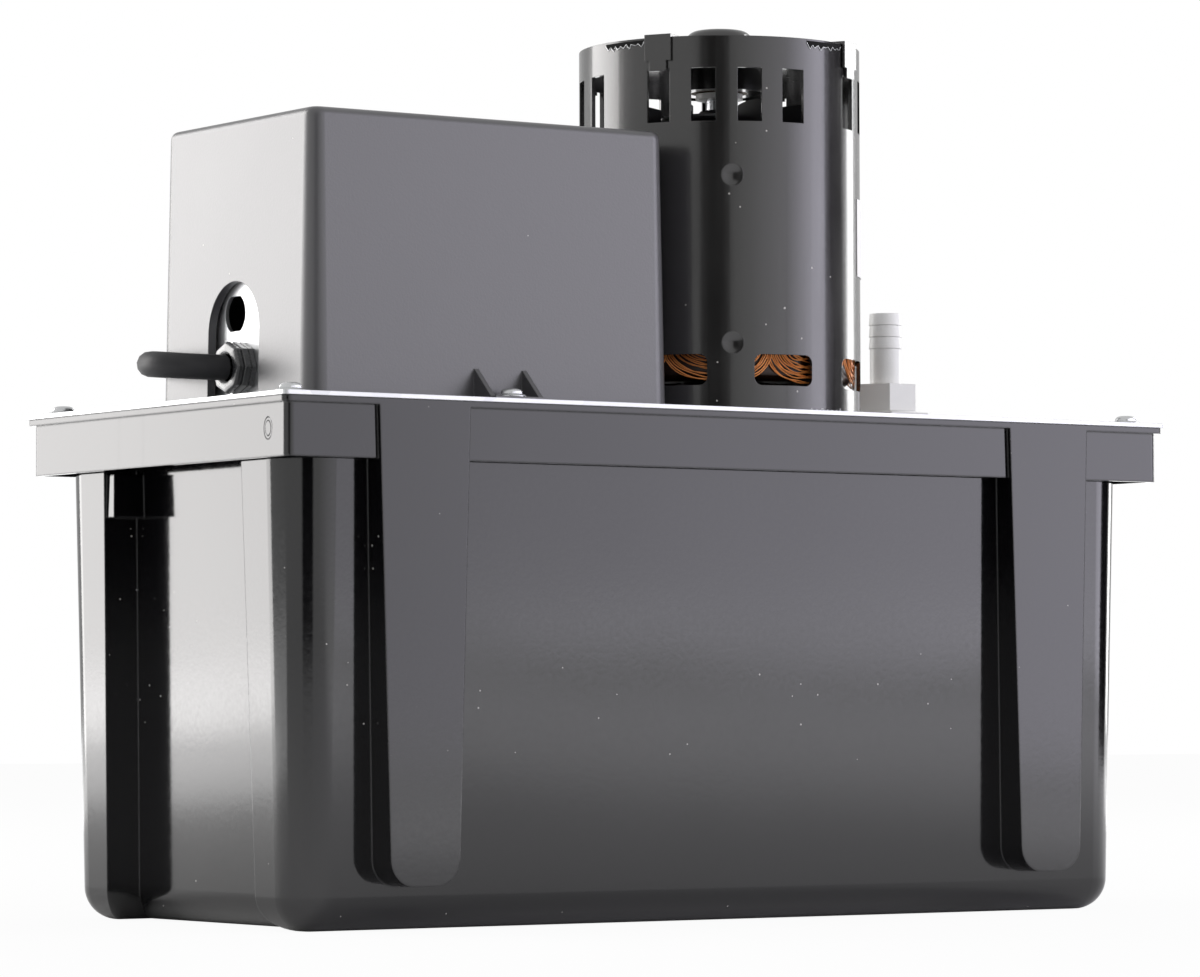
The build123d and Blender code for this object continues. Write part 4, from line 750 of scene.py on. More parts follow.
def turned(
    profile: np.ndarray, centre: Sequence[float], steps: int, flats: int = 0, closed: bool = False
) -> tuple[np.ndarray, np.ndarray]:
    """A closed profile of radius and height carried round a vertical axis.

    Point (u, v) is centre + (r(u) cos a, r(u) sin a, z(u)) with a = 2 pi v. Where the profile's third
    column is 1, the radius follows a polygon's flats: r cos(pi / n) / cos(a mod (2 pi / n) - pi / n).

    Args:
        profile: rows of radius, height and flat share, from the lower middle round to the upper middle.
        centre: the axis' foot.
        steps: points round the axis.
        flats: the number of flats n.
        closed: whether the profile closes on itself.

    Returns:
        The points and the faces.
    """
    angle = np.linspace(0, FULL_TURN, steps, endpoint=False)
    reach = np.ones(steps)
    if flats:
        part = FULL_TURN / flats
        reach = math.cos(part / 2) / np.cos(np.mod(angle, part) - part / 2)
    share = profile[:, 2:3] if profile.shape[1] > 2 else np.zeros((len(profile), 1))
    radius = profile[:, :1] * (1 - share + share * reach[None, :])
    grid = np.stack([
        centre[0] + radius * np.cos(angle),
        centre[1] + radius * np.sin(angle),
        centre[2] + np.repeat(profile[:, 1:2], steps, axis=1),
    ], axis=2)
    return grid.reshape(-1, 3), grid_faces(len(profile), steps, closed)


def tubes(
    paths: np.ndarray, radius: float, sides: int, out: np.ndarray
) -> tuple[np.ndarray, np.ndarray, np.ndarray]:
    """Round wires along many paths at once, closed at both ends.

    Point (k, m, s) is path(k, m) + r (n cos a + b sin a), where n is the outward hint made square to the
    path's direction t, b = t x n, and a = 2 pi s.

    Args:
        paths: (wires, points, 3), in metres.
        radius: the wires' radius.
        sides: points round a wire.
        out: the outward hint at each path point.

    Returns:
        The points, the side faces and the end faces.
    """
    along = np.gradient(paths, axis=1)
    along /= np.linalg.norm(along, axis=2, keepdims=True)
    normal = out - (out * along).sum(2, keepdims=True) * along
    normal /= np.linalg.norm(normal, axis=2, keepdims=True)
    across = np.cross(along, normal)
    angle = np.linspace(0, FULL_TURN, sides, endpoint=False)
    cosine, sine = (wave(angle)[None, None, :, None] for wave in (np.cos, np.sin))
    ring = cosine * normal[:, :, None] + sine * across[:, :, None]
    grid = paths[:, :, None] + radius * ring
    wires, length = paths.shape[:2]
    first = np.arange(wires)[:, None, None] * length * sides
    side_faces = (grid_faces(length, sides)[None] + first).reshape(-1, 4)
    return grid.reshape(-1, 3), side_faces, (end_faces(length, sides)[None] + first).reshape(-1, sides)


def joined(*shapes: tuple[np.ndarray, Sequence[np.ndarray]]) -> tuple[np.ndarray, list[np.ndarray]]:
    """Several shapes' points and faces as one.

    Args:
        shapes: pairs of points and lists of face arrays.

    Returns:
        All the points, and all the face arrays with their numbers moved on.
    """
    points, faces, start = [], [], 0
    for verts, parts in shapes:
        faces.extend(part + start for part in parts)
        points.append(verts)
        start += len(verts)
    return np.concatenate(points), faces


class Piece(Protocol):
    """A part of the pump that is modelled here."""

    def build(self, wardrobe: Wardrobe) -> list[bpy.types.Object]:
        """Make, dress and mount the piece.

        Args:
            wardrobe: the finishes.

        Returns:
            Its objects.
        """


# ---------------------------------------------------------------- power cord
@dataclass(frozen=True)
class PowerCord(Piece):
    """The jacketed cord: out of its grip, down behind the tank, coiled on the floor and to its plug."""

    diameter: float = 7.2 * MM
    length: float = 1.83
    coil_centre: tuple[float, float] = (0.0, 0.134)
    coil_inner: float = 30.0 * MM
    coil_outer: float = 49.0 * MM
    low: float = 3.6 * MM
    high: float = 11.2 * MM
    points_per_turn: int = 16
    layer_turns: float = 2.5
    climb_turns: float = 0.5
    tuck: float = 1.4 * MM
    settle: float = 0.4 * MM
    leaving: tuple[Colour, ...] = (
        (-0.1285, 0.0, 0.1549), (-0.1412, 0.0, 0.1549), (-0.1471, 0.0086, 0.1558), (-0.1386, 0.025, 0.1569),
        (-0.1264, 0.0452, 0.1584), (-0.1075, 0.062, 0.1595), (-0.088, 0.078, 0.1555), (-0.0765, 0.091, 0.135),
        (-0.072, 0.0985, 0.105), (-0.071, 0.1, 0.071), (-0.074, 0.097, 0.04), (-0.0745, 0.0985, 0.016),
        (-0.066, 0.105, 0.0039), (-0.0535, 0.118, 0.0036), (-0.049, 0.134, 0.0036),
    )
    arriving: tuple[Colour, ...] = (
        (0.049, 0.134, 0.0108), (0.053, 0.114, 0.0086), (0.066, 0.0975, 0.0046), (0.088, 0.09, 0.0036),
        (0.104, 0.097, 0.0046), (0.108, 0.112, 0.01), (0.108, 0.123, 0.01),
    )

    def coil(self) -> list[Colour]:
        """The coil's control points: a layer winding in, half a turn of climb, and a layer winding out."""
        winding = self.layer_turns
        total = int((2 * winding + self.climb_turns) * self.points_per_turn)
        points = []
        for step in range(1, total):
            turn = step / self.points_per_turn
            inward = min(turn / winding, 1.0)
            outward = max(0.0, (turn - winding - self.climb_turns) / winding)
            climb = min(max((turn - winding) / self.climb_turns, 0.0), 1.0)
            radius = self.coil_outer - (self.coil_outer - self.coil_inner) * (inward - outward)
            radius -= self.tuck * math.sin(math.pi * climb)
            angle = math.pi - FULL_TURN * turn
            eased = climb * climb * (3 - 2 * climb)
            height = self.low + (self.high - self.low) * eased - self.settle * outward
            x, y = self.coil_centre
            points.append((x + radius * math.cos(angle), y + radius * math.sin(angle), height))
        return points

    def build(self, wardrobe: Wardrobe) -> list[bpy.types.Object]:
        route = [*self.leaving, *self.coil(), *self.arriving]
        curve = bpy.data.curves.new("cord_run", "CURVE")
        curve.dimensions = "3D"
        curve.resolution_u = 4
        spline = curve.splines.new("NURBS")
        spline.points.add(len(route) - 1)
        for point, place in zip(spline.points, route):
            point.co = (*place, 1.0)
        spline.order_u = 3
        spline.use_endpoint_u = True
        curve.bevel_depth = self.diameter / 2
        curve.bevel_resolution = 4
        curve.use_fill_caps = True
        cord = bpy.data.objects.new("cord_run", curve)
        bpy.context.scene.collection.objects.link(cord)
        wardrobe.dress(cord, Finish.BLACK_RUBBER)
        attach(cord, "housing")
        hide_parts("power_cord", "cord_coil", "cord_tail")
        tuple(self.leaving[0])
        return [cord]


# ---------------------------------------------------------------- motor
@dataclass(frozen=True)
class Windings(Piece):
    """The strands of each coil head: nested loops that leave the stack, bow away from it and go back."""

    radius: float = 39.3 * MM
    strand: float = 0.21 * MM
    bundles: int = 8
    strands_per_bundle: int = 19
    points: int = 26
    half_width: float = 24.5
    lower_edge: float = 168.2 * MM
    upper_edge: float = 214.2 * MM
    reach: float = 13.6 * MM
    squareness: float = 2.6
    first_bundle: float = 8.0
    innermost: float = 0.14
    narrowest: float = 0.3
    lean: float = 5.0
    unevenness: float = 0.035
    layer: float = 0.42 * MM
    stray: float = 0.12 * MM
    ripple: float = 0.25 * MM

    def build(self, wardrobe: Wardrobe) -> list[bpy.types.Object]:
        """Make the strands of both heads.

        Strand j of bundle k runs over t from -1 to 1. Its azimuth is the bundle's middle + w(j) t, and it
        stands d(j) (1 - |t| ** p) ** (1 / p) off the stack, so the inner strands make the smaller arches.
        """
        heads = []
        draw = np.random.default_rng(4)
        levels = (("lower_windings", self.lower_edge, -1), ("upper_windings", self.upper_edge, 1))
        for name, edge, way in levels:
            number = np.arange(self.bundles * self.strands_per_bundle)[:, None]
            bundle, strand = number // self.strands_per_bundle, number % self.strands_per_bundle
            share = (strand + 1) / self.strands_per_bundle
            t = np.linspace(-1, 1, self.points)[None, :]
            uneven = 1 + draw.normal(0, self.unevenness, bundle.shape)
            middle = 360 / self.bundles * bundle + self.first_bundle
            lean = self.lean * (bundle % 2 - 0.5) * (1 - t * t)
            width = self.half_width * (self.narrowest + (1 - self.narrowest) * share)
            azimuth = np.radians(middle + width * t + lean)
            arch = (1 - np.abs(t) ** self.squareness) ** (1 / self.squareness)
            drop = self.reach * (self.innermost + (1 - self.innermost) * share) * arch * uneven
            drop = np.minimum(drop, self.reach)
            wave = self.ripple * np.sin(9 * t + 2.1 * strand + bundle)
            layer = self.layer * (bundle % 2) + draw.normal(0, self.stray, bundle.shape)
            radius = self.radius + layer + wave * 0.5
            paths = on_motor(radius, azimuth, edge + way * drop + wave * (1 - t * t))
            points, sides, ends = tubes(paths, self.strand, 6, from_motor(paths))
            head = as_object(name, points, [sides, ends])
            wardrobe.dress(head, Finish.COPPER_STRAND)
            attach(head, "housing")
            heads.append(head)
        return heads


@dataclass(frozen=True)
class RimCrimps(Piece):
    """The torn zig-zag slits where the shell's rim is punched over the end caps, with their bright teeth. The
    slits are drawn as painted shade, and the teeth's brightness is partly a painted highlight.
    """

    radius: float = 41.88 * MM
    rim: float = 254.7 * MM
    foot: float = 144.7 * MM
    azimuth: float = -167.5
    arc: float = 21.0
    teeth: int = 7
    edge: float = 0.11 * MM
    margin: float = 0.25 * MM
    thickness: float = 0.2 * MM
    proud: float = 0.03 * MM
    valley: float = 2.3 * MM
    peak: float = 1.25 * MM
    end: float = 0.7 * MM
    stray: float = 0.012
    unevenness: float = 0.14

    def zigzag(self, draw: np.random.Generator) -> tuple[np.ndarray, np.ndarray]:
        """One slit's toothed edge.

        Args:
            draw: the source of the teeth's unevenness.

        Returns:
            The azimuth in degrees from the slit's middle, and the depth below the rim, at every corner.
        """
        corners = 2 * self.teeth + 1
        share = np.linspace(-0.5, 0.5, corners)
        share[1:-1] += draw.normal(0, self.stray, corners - 2)
        depth = np.where(np.arange(corners) % 2 == 1, self.valley, self.peak)
        depth *= 1 + draw.normal(0, self.unevenness, corners)
        depth[0] = depth[-1] = self.end
        return self.arc * share, depth

    def build(self, wardrobe: Wardrobe) -> list[bpy.types.Object]:
        """Make the slits and their teeth at both rims.

        A slit is a thin near-black strip just proud of the shell, from the rim to the zig-zag: painted shade
        in the gap. The teeth's bare edge is a fine bead along the zig-zag, in bright metal whose brightness
        is partly a painted highlight.
        """
        draw = np.random.default_rng(11)
        slits, paths = [], []
        for quarter in range(4):
            for level, way in ((self.rim, -1), (self.foot, 1)):
                offset, depth = self.zigzag(draw)
                angle = np.radians(self.azimuth + 90 * quarter + offset)
                start, inner = level + way * self.margin, self.radius - self.thickness
                grid = np.stack([
                    on_motor(radius, angle, height) for radius, height in (
                        (self.radius, start), (self.radius, level + way * depth),
                        (inner, level + way * depth), (inner, start),
                    )
                ], axis=1)
                corners = len(angle)
                sides, ends = grid_faces(corners, 4), end_faces(corners, 4)
                if way > 0:
                    sides, ends = sides[:, ::-1], ends[:, ::-1]
                slits.append((grid.reshape(-1, 3), [sides, ends]))
                along = np.linspace(0, corners - 1, 6 * (corners - 1) + 1)
                fine = np.interp(along, np.arange(corners), angle)
                drop = np.interp(along, np.arange(corners), depth)
                paths.append(on_motor(self.radius + self.proud, fine, level + way * drop))
        points, faces = joined(*slits)
        # the slit strips are painted shade; the teeth bead's bright metal is partly a painted highlight
        slit_shade = as_object("crimp_slit_painted_shade", points, faces, 25)
        run = np.stack(paths)
        points, sides, ends = tubes(run, self.edge, 6, from_motor(run))
        teeth = as_object("crimp_teeth_edge_highlight", points, [sides, ends])
        for piece, finish, slot in (
            (slit_shade, Finish.CRIMP_SLIT_PAINTED_SHADE, "motor_paint"), (teeth, Finish.ZINC_SCREW, "shaft_steel"),
        ):
            wardrobe.dress(piece, finish)
            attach(piece, "housing")
        return [slit_shade, teeth]


@dataclass(frozen=True)
class FanWheel(Piece):
    """The cooling fan: a boss, a bare hub plate and thin swept blades round it."""

    bore: float = 4.02 * MM
    boss: float = 13.2 * MM
    cap: float = 6.2 * MM
    low: float = 227.2 * MM
    web_low: float = 229.5 * MM
    web_high: float = 230.6 * MM
    plate_low: float = 234.3 * MM
    plate_high: float = 235.15 * MM
    plate_radius: float = 18.0 * MM
    high: float = 238.4 * MM
    blades: int = 8
    first_blade: float = 213.2
    inner: float = 18.3 * MM
    outer: float = 32.6 * MM
    sweep: float = 10.0
    blade_thickness: float = 0.9 * MM
    dip: float = 1.6 * MM
    crown_drop: float = 0.8 * MM
    bevel: float = 0.3 * MM
    plate_bevel: float = 0.2 * MM
    steps: int = 72

    def vanes(self) -> tuple[np.ndarray, list[np.ndarray]]:
        """Every blade at once: a thin upright wall whose azimuth runs on by the sweep as it goes out."""
        steps = 12
        share = np.linspace(0, 1, steps)
        radius = self.inner + (self.outer - self.inner) * share
        first = np.arange(self.blades)[:, None] * 360 / self.blades + self.first_blade
        azimuth = np.radians(first + self.sweep * (share[None] ** 1.3 - 0.5))
        top = self.high - self.dip * (1 - np.sin(math.pi * (0.12 + 0.6 * share)))
        half = self.blade_thickness / 2
        across = half * np.stack([-np.sin(azimuth), np.cos(azimuth), 0 * azimuth], axis=2)
        rows = [
            on_motor(radius, azimuth, height) + side * across
            for side, height in ((-1, self.web_low), (1, self.web_low), (1, top), (-1, top))
        ]
        grid = np.stack(rows, axis=2)
        start = np.arange(self.blades)[:, None, None] * steps * 4
        faces = (grid_faces(steps, 4), end_faces(steps, 4))
        return grid.reshape(-1, 3), [(part[None] + start).reshape(-1, 4) for part in faces]

    def round_part(self, rows: Sequence[tuple[float, float]]) -> tuple[np.ndarray, list[np.ndarray]]:
        """A ring about the motor's axis from a closed outline.

        Args:
            rows: radius and height, inner lower corner first, then outwards, up and back in.

        Returns:
            The points and the face arrays.
        """
        points, faces = turned(np.array(rows), (MOTOR_X, 0, 0), self.steps, closed=True)
        return points, [faces]

    def build(self, wardrobe: Wardrobe) -> list[bpy.types.Object]:
        """Make the wheel and its plate."""
        step, crown = self.bevel, self.high - self.crown_drop
        boss = self.round_part([
            (self.bore, self.low), (self.boss - step, self.low), (self.boss, self.low + step),
            (self.boss, self.plate_low), (self.cap, self.plate_low), (self.cap, crown - 2 * step),
            (self.cap - 2 * step, crown), (self.bore, crown),
        ])
        web = self.round_part([
            (self.boss - step, self.web_low), (self.outer - MM, self.web_low),
            (self.outer - MM, self.web_high), (self.boss - step, self.web_high),
        ])
        edge = self.plate_bevel
        inner, foot = self.cap + 0.05 * MM, self.plate_low + 0.02 * MM
        plate = self.round_part([
            (inner, foot), (self.plate_radius - edge, foot), (self.plate_radius, self.plate_low + edge),
            (self.plate_radius, self.plate_high - edge), (self.plate_radius - edge, self.plate_high),
            (inner, self.plate_high),
        ])
        wheel = as_object("fan_wheel", *joined(boss, web, self.vanes()))
        disc = as_object("fan_plate", *joined(plate))
        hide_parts("cooling_fan")
        for piece, finish, slot in (
            (wheel, Finish.FAN_PLASTIC, "fan_plastic"), (disc, Finish.FAN_PLATE, "rotor_metal"),
        ):
            wardrobe.dress(piece, finish)
            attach(piece, "rotor")
        return [wheel, disc]


@dataclass(frozen=True)
class DimpleSeats(Piece):
    """The soft-shouldered dents that pin the stack in the shell."""

    shell: float = 41.8 * MM
    azimuth: float = -120.5
    heights: tuple[float, ...] = (165.6 * MM, 214.4 * MM)
    rim: float = 3.35 * MM
    depth: float = 0.6 * MM
    proud: float = 0.03 * MM
    thickness: float = 0.25 * MM
    rings: int = 14
    steps: int = 40

    def build(self, wardrobe: Wardrobe) -> list[bpy.types.Object]:
        """Make all eight seats.

        The front stands at shell - depth (1 - s ** 2) ** 1.5 for s = distance / rim, so its shoulder is
        soft, and the back lies a seat's thickness behind the front, inside the steel.
        """
        share = np.linspace(0.02, 1, self.rings)[:, None]
        turn = np.linspace(0, FULL_TURN, self.steps, endpoint=False)[None]
        aside = share * self.rim * np.cos(turn)
        rise = share * self.rim * np.sin(turn)
        front = self.shell + self.proud - self.depth * (1 - share**2) ** 1.5 + 0 * turn
        shapes = []
        for quarter in range(4):
            azimuth = math.radians(self.azimuth + 90 * quarter) + aside / self.shell
            for height in self.heights:
                depths = (front, front - self.thickness)
                sheets = [on_motor(radius, azimuth, height + rise) for radius in depths]
                grid = np.concatenate([sheets[0], sheets[1][::-1]])
                faces = (grid_faces(len(grid), self.steps), end_faces(len(grid), self.steps))
                shapes.append((grid.reshape(-1, 3), [part[:, ::-1] for part in faces]))
        points, faces = joined(*shapes)
        seats = as_object("dimple_seats", points, faces, 60)
        wardrobe.dress(seats, Finish.MOTOR_PAINT)
        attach(seats, "housing")
        return [seats]


# ---------------------------------------------------------------- valve spring
@dataclass(frozen=True)
class ValveSpring(Piece):
    """The coil spring that closes the check valve, with close end turns."""

    centre_x: float = 103.5 * MM
    radius: float = 3.9 * MM
    wire: float = 0.8 * MM
    low: float = 132.15 * MM
    high: float = 145.75 * MM
    turns: int = 8
    lift: float = 4 * MM
    steps: int = 48

    def build(self, wardrobe: Wardrobe) -> list[bpy.types.Object]:
        """Make the spring.

        Its middle line is (x0 + R cos a, R sin a, z(a)), where z rises by about a wire's thickness over
        each end turn and evenly over the others.
        """
        turn = np.linspace(0, self.turns, self.turns * self.steps + 1)
        close = 1.03 * self.wire
        rise = self.high - self.low - self.wire
        open_pitch = (rise - 2 * close) / (self.turns - 2)
        knots = np.array([0, 0.9, 1.1, self.turns - 1.1, self.turns - 0.9, self.turns])
        pitch = np.interp(turn, knots, [close, close, open_pitch, open_pitch, close, close])
        climb = np.concatenate([[0], np.cumsum((pitch[1:] + pitch[:-1]) / 2)])
        angle = FULL_TURN * turn
        out = np.stack([np.cos(angle), np.sin(angle), 0 * angle], axis=1)
        path = self.radius * out
        path[:, 0] += self.centre_x
        path[:, 2] = self.low + self.wire / 2 + rise * climb / climb[-1]
        points, sides, ends = tubes(path[None], self.wire / 2, 14, out[None])
        spring = as_object("coil_spring", points, [sides, ends], 60)
        wardrobe.dress(spring, Finish.SPRING_STEEL)
        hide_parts("valve_spring")
        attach(spring, "housing")
        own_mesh(spring)
        return [spring]


# ---------------------------------------------------------------- cord grip
@dataclass(frozen=True)
class CordGrip(Piece):
    """The clamp bushing at the cord's way in: an eight-sided head with a collar, a rib and a tail."""

    face_x: float = -128.5 * MM
    height: float = 154.9 * MM
    bore: float = 3.66 * MM
    head: float = 7.3 * MM
    bracket_x: float = -122.2 * MM
    flats: int = 8
    steps: int = 96

    def profile(self) -> np.ndarray:
        """The bushing's closed outline: radius, distance behind the face, and share of flats, in metres."""
        back, bore, head = (value / MM for value in (self.bracket_x - self.face_x, self.bore, self.head))
        rows = [
            (bore, 0.9, 0), (bore + 0.5, 0.25, 0), (bore + 0.9, 0.0, 0), (head - 1.15, 0.0, 0.75),
            (head - 0.45, 0.22, 0.95), (head, 0.8, 1), (head, 1.75, 1), (head - 0.2, 1.95, 1),
            (head - 0.75, 2.1, 0.9), (head - 0.75, 2.45, 0.9), (head - 0.2, 2.6, 1), (head, 2.8, 1),
            (head, 4.25, 1), (head - 0.35, 4.4, 0.9), (head - 0.35, 4.7, 0.9), (head + 0.05, 4.85, 1),
            (head + 0.05, back - 0.25, 1), (head - 0.2, back, 1), (5.95, back, 0), (5.95, back + 1.3, 0),
            (6.9, back + 1.5, 0), (6.9, back + 3.0, 0), (5.6, back + 3.4, 0), (5.5, back + 7.6, 0),
            (5.0, back + 8.1, 0), (bore, back + 8.1, 0),
        ]
        return np.array(rows) * (MM, MM, 1)

    def build(self, wardrobe: Wardrobe) -> list[bpy.types.Object]:
        """Make the bushing about +Z, then turn it to lie along +X."""
        upright, faces = turned(self.profile(), (0, 0, 0), self.steps, self.flats, closed=True)
        points = np.stack([self.face_x + upright[:, 2], upright[:, 1], self.height - upright[:, 0]], axis=1)
        grip = as_object("cord_grip", points, [faces], 32)
        wardrobe.dress(grip, Finish.BLACK_NYLON)
        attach(grip, "housing")
        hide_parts("strain_relief")
        return [grip]


# ---------------------------------------------------------------- screws
@dataclass(frozen=True)
class WasherScrews(Piece):
    """Low washer-head sheet screws: a rolled washer, six soft flats under a domed crown and a small dish."""

    name: str
    replaced: str
    places: tuple[Colour, ...]
    length: float
    washer: float = 4.3 * MM
    head: float = 3.4 * MM
    shank: float = 1.7 * MM

    def profile(self) -> np.ndarray:
        """The screw's outline from its point to the middle of its crown, with the flats' share."""
        radii = (self.shank, self.washer, self.head)
        foot, (shank, washer, head) = -self.length / MM, (radius / MM for radius in radii)
        rows = [
            (0.02, foot, 0), (0.8, foot + 1.2, 0), (shank, foot + 2.6, 0), (shank, 0.0, 0),
            (washer - 0.2, 0.0, 0), (washer, 0.15, 0), (washer, 0.4, 0), (washer - 0.2, 0.65, 0),
            (head + 0.25, 0.82, 0.2),
            (head, 1.0, 0.7), (head - 0.05, 1.5, 0.7), (head - 0.35, 1.95, 0.4), (head - 0.95, 2.3, 0.1),
            (head - 1.7, 2.5, 0), (0.9, 2.56, 0), (0.5, 2.3, 0), (0.02, 2.22, 0),
        ]
        return np.array(rows) * (MM, MM, 1)

    def build(self, wardrobe: Wardrobe) -> list[bpy.types.Object]:
        """Make every screw of the set as one piece."""
        shapes = []
        profile, steps, flats = self.profile(), 48, 6
        for place in self.places:
            points, faces = turned(profile, place, steps, flats)
            shapes.append((points, [faces, end_faces(len(profile), steps)]))
        points, faces = joined(*shapes)
        screws = as_object(self.name, points, faces, 35)
        wardrobe.dress(screws, Finish.ZINC_SCREW)
        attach(screws, "housing")
        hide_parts(self.replaced)
        return [screws]


# ---------------------------------------------------------------- studio
@dataclass(frozen=True)
class SoftBox:
    """A soft light: a rectangle at a bearing from the pump, dimmer towards one upright side if asked."""

    name: str
    bearing: float
    distance: float
    width: float
    height: float
    middle: float
    radiance: float
    colour: Colour
    dim_side: float = 1.0

    def build(self) -> None:
        """Place the light, facing the pump. The bearing is in degrees, from +X towards +Y."""
        lamp = bpy.data.lights.new(self.name, "AREA")
        lamp.color = self.colour
        lamp.shape = "RECTANGLE"
        lamp.size, lamp.size_y = self.width, self.height
        lamp.energy = self.radiance * math.pi * self.width * self.height
        if self.dim_side < 1:
            self.ease(lamp)
        holder = bpy.data.objects.new(self.name, lamp)
        bpy.context.scene.collection.objects.link(holder)
        angle = math.radians(self.bearing)
        holder.location = (self.distance * math.cos(angle), self.distance * math.sin(angle), self.middle)
        aim = Vector((0, 0, AIM_HEIGHT)) - holder.location
        holder.rotation_euler = aim.to_track_quat("-Z", "Y").to_euler()
        holder.visible_camera = False

    def ease(self, lamp: bpy.types.Light) -> None:
        """Make the radiance rise from dim_side at the lower bearing to 1 at the higher one.

        Args:
            lamp: the light's data.
        """
        lamp.use_nodes = True
        tree = lamp.node_tree
        glow = next(node for node in tree.nodes if node.type == "EMISSION")
        spot = tree.nodes.new("ShaderNodeNewGeometry")
        split = tree.nodes.new("ShaderNodeSeparateXYZ")
        ramp = tree.nodes.new("ShaderNodeMapRange")
        ramp.inputs["To Min"].default_value = self.dim_side
        tree.links.new(spot.outputs["Parametric"], split.inputs[0])
        tree.links.new(split.outputs["X"], ramp.inputs["Value"])
        tree.links.new(ramp.outputs[0], glow.inputs["Strength"])


@dataclass(frozen=True)
class Flag:
    """A black studio flag, which shows only as a dark band in glossy surfaces."""

    name: str
    bearing: float
    distance: float
    width: float
    height: float = 1.3

    def build(self) -> None:
        """Stand the flag square to its bearing, in degrees from +X towards +Y."""
        angle = math.radians(self.bearing)
        middle = np.array([math.cos(angle), math.sin(angle), 0]) * self.distance
        side = np.array([-math.sin(angle), math.cos(angle), 0]) * self.width / 2
        up = np.array([0, 0, self.height])
        corners = np.stack([middle - side, middle + side, middle + side + up, middle - side + up])
        flag = as_object(self.name, corners, [np.array([[0, 1, 2, 3]])])
        sheet = NodeSheet(self.name)
        tint = sheet.blend(sheet.noise(3, 2), (0.004, 0.004, 0.004), (0.008, 0.008, 0.008))
        flag.data.materials.append(sheet.finish(Base_Color=tint, Roughness=1.0, Specular_IOR_Level=0.0))
        flag.visible_camera = flag.visible_diffuse = flag.visible_shadow = flag.visible_transmission = False


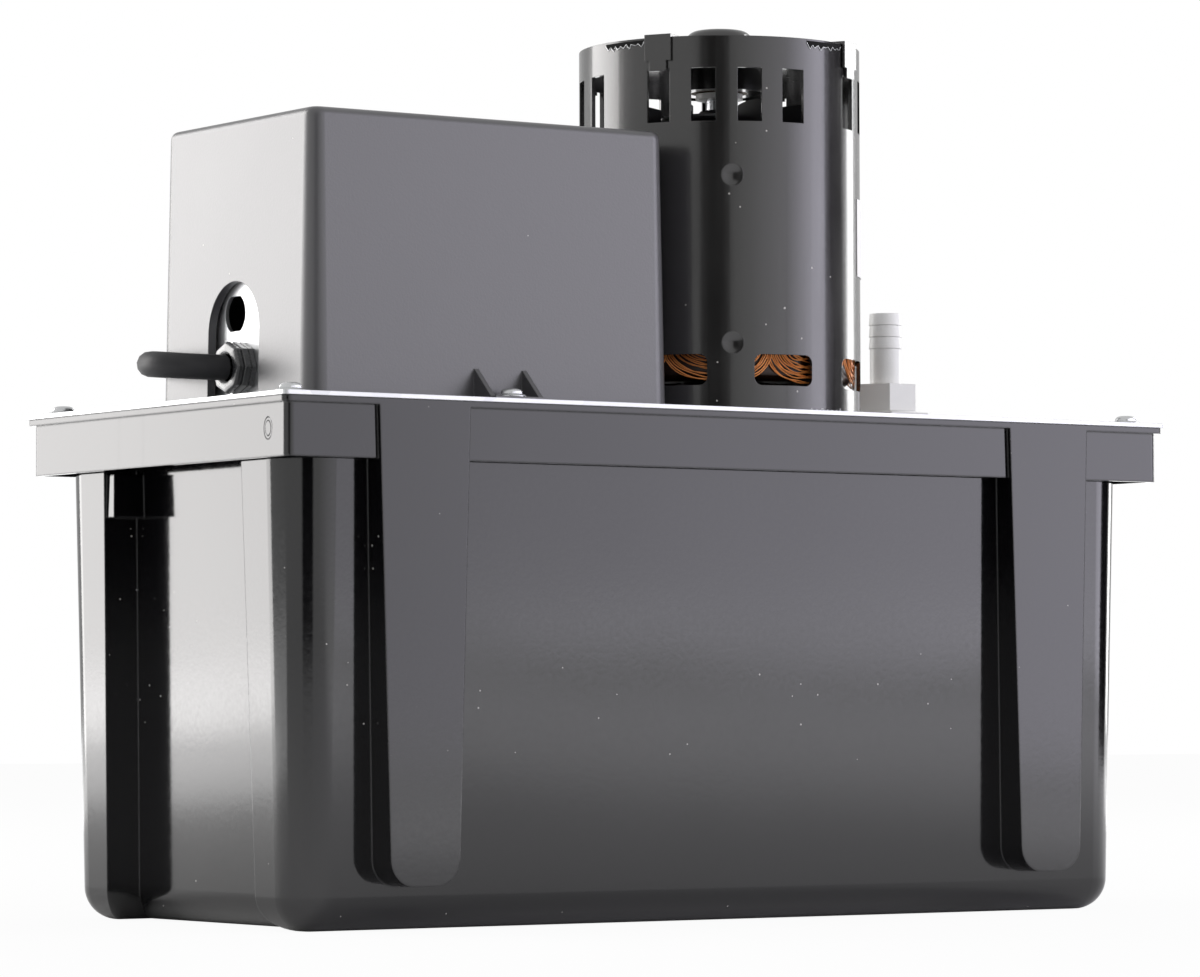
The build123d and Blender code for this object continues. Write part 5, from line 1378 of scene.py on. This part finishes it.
@dataclass(frozen=True)
class Studio:
    """The camera, a pale floor, soft lights and the white surround."""

    lens: float = 152.03
    position: Colour = (-0.836738, -1.223729, 0.058843)
    heading: float = 34.304
    tilt: float = 2.522
    roll: float = -0.118
    ambient: float = 0.62
    # strengths of the floor's painted glow, which shows only in reflections
    left_painted_glow: float = 1.1
    front_painted_glow: float = 0.5

    def camera(self) -> None:
        """Place the camera: heading from +Y towards +X, tilt above the horizon, then roll about its axis."""
        heading, tilt, roll = (math.radians(v) for v in (self.heading, self.tilt, self.roll))
        level = math.cos(tilt)
        forward = Vector((math.sin(heading) * level, math.cos(heading) * level, math.sin(tilt)))
        right = Vector((math.cos(heading), -math.sin(heading), 0))
        up = right.cross(forward)
        axis_x = right * math.cos(roll) + up * math.sin(roll)
        axis_y = up * math.cos(roll) - right * math.sin(roll)
        turn = Matrix((axis_x, axis_y, -forward)).transposed().to_4x4()
        data = bpy.data.cameras.new("camera")
        data.sensor_fit = "HORIZONTAL"
        data.sensor_width = SENSOR_WIDTH
        data.lens = self.lens
        data.clip_start, data.clip_end = 0.01, 50
        holder = bpy.data.objects.new("camera", data)
        holder.matrix_world = Matrix.Translation(self.position) @ turn
        bpy.context.scene.collection.objects.link(holder)
        bpy.context.scene.camera = holder

    def floor(self) -> None:
        """A pale floor that the camera sees as white, with the pump's soft shadow left in it, and with
        painted light: patches away from the pump that glow only in reflections.
        """
        corners = np.array([(-1, -1, 0), (1, -1, 0), (1, 1, 0), (-1, 1, 0)]) * FLOOR_HALF
        floor = as_object("floor", corners, [np.array([[0, 1, 2, 3]])])
        sheet = NodeSheet("floor")
        sweep = sheet.noise(1.5, 2)
        tint = sheet.blend(sweep, (0.84, 0.84, 0.84), (0.88, 0.88, 0.88))
        diffuse = sheet.node("ShaderNodeBsdfDiffuse", {}, {"Color": tint})
        glow = sheet.node("ShaderNodeEmission", {}, {"Color": (*WHITE, 1), "Strength": 1.0})
        seen = sheet.node("ShaderNodeLightPath", {}, {}, "Is Camera Ray")
        mixed = sheet.node("ShaderNodeMixShader", {}, {0: seen * 0.94, 1: diffuse, 2: glow})
        # painted reflected light: the floor glows to glossy rays only, more strongly further from the pump
        away, behind = sheet.reach(), sheet.axis("Y").over(0)
        ahead = (1 - behind) * sheet.axis("X").fade(0.05, 0.45)
        left, front = away.fade(0.85, 0.95) * behind, away.fade(0.3, 1.2) * ahead
        painted_glow = left * self.left_painted_glow + front * self.front_painted_glow
        mirrored = sheet.node("ShaderNodeLightPath", {}, {}, "Is Glossy Ray")
        painted_glow_shader = sheet.node("ShaderNodeEmission", {}, {"Color": (*WHITE, 1), "Strength": painted_glow * mirrored})
        whole = sheet.node("ShaderNodeAddShader", {}, {0: mixed, 1: painted_glow_shader})
        sheet.tree.links.new(whole.socket, sheet.output.inputs["Surface"])
        floor.data.materials.append(sheet.material)

    def surround(self) -> None:
        """An even pale surround that lights the pump softly and that the camera sees as white."""
        world = bpy.data.worlds.new("surround")
        world.use_nodes = True
        tree = world.node_tree
        tree.nodes.clear()
        out = tree.nodes.new("ShaderNodeOutputWorld")
        plain = tree.nodes.new("ShaderNodeBackground")
        plain.inputs["Color"].default_value = (*WHITE, 1)
        path = tree.nodes.new("ShaderNodeLightPath")
        strength = tree.nodes.new("ShaderNodeMix")
        strength.inputs[2].default_value = self.ambient
        strength.inputs[3].default_value = 1.0
        tree.links.new(path.outputs["Is Camera Ray"], strength.inputs[0])
        tree.links.new(strength.outputs[0], plain.inputs["Strength"])
        tree.links.new(plain.outputs[0], out.inputs["Surface"])
        bpy.context.scene.world = world

    def build(self) -> None:
        """Make the whole studio."""
        bpy.context.scene.view_settings.view_transform = "Standard"
        self.camera()
        self.floor()
        self.surround()
        SoftBox("left_light", 125, 1.5, 1.05, 1.06, 0.52, 3.9, (1.0, 0.98, 0.97)).build()
        SoftBox("fill_light", 273, 1.7, 1.1, 1.2, 0.62, 0.45, (1.0, 0.965, 1.1), 0.05).build()
        SoftBox("front_light", 316, 1.7, 1.62, 1.2, 0.6, 3.0, (1.0, 0.965, 1.14), 0.12).build()
        SoftBox("right_light", 8, 1.5, 0.36, 1.2, 0.6, 5.0, (1.0, 1.0, 1.0)).build()
        Flag("near_flag", 231.7, 1.9, 0.8).build()
        Flag("right_flag", 342.5, 1.4, 0.62).build()


def dress_nodes(nodes: dict[str, bpy.types.Object], wardrobe: Wardrobe) -> None:
    """Give every CAD node its finish.

    Args:
        nodes: the CAD nodes by name.
        wardrobe: the finishes.
    """
    for finish, names in FINISH_NODES.items():
        for name in names.split():
            wardrobe.dress(nodes[name], finish)
            log.info("%s: %s", name, finish.name.lower())


def main() -> None:
    """Load the frame, then build and dress the pump."""
    logging.basicConfig(level=logging.INFO, format="%(message)s")
    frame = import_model()
    Studio().build()
    wardrobe = Wardrobe()
    dress_nodes(frame["nodes"], wardrobe)
    corner = [(sx * 0.145, sy * 0.0635, PLATE_TOP) for sx in (-1, 1) for sy in (-1, 1)]
    lugs = [(-0.064, sy * 0.0475, PLATE_TOP + 2 * MM) for sy in (-1, 1)]
    pieces = (
        PowerCord(),
        Windings(),
        RimCrimps(),
        FanWheel(),
        DimpleSeats(),
        CordGrip(),
        ValveSpring(),
        WasherScrews("plate_screws", "cover_screws", tuple(corner), 12 * MM),
        WasherScrews("lug_screws", "switch_cover_screws", tuple(lugs), 9 * MM),
    )
    for piece in pieces:
        for shown in piece.build(wardrobe):
            log.info("made %s", shown.name)


if __name__ == "__main__":
    main()
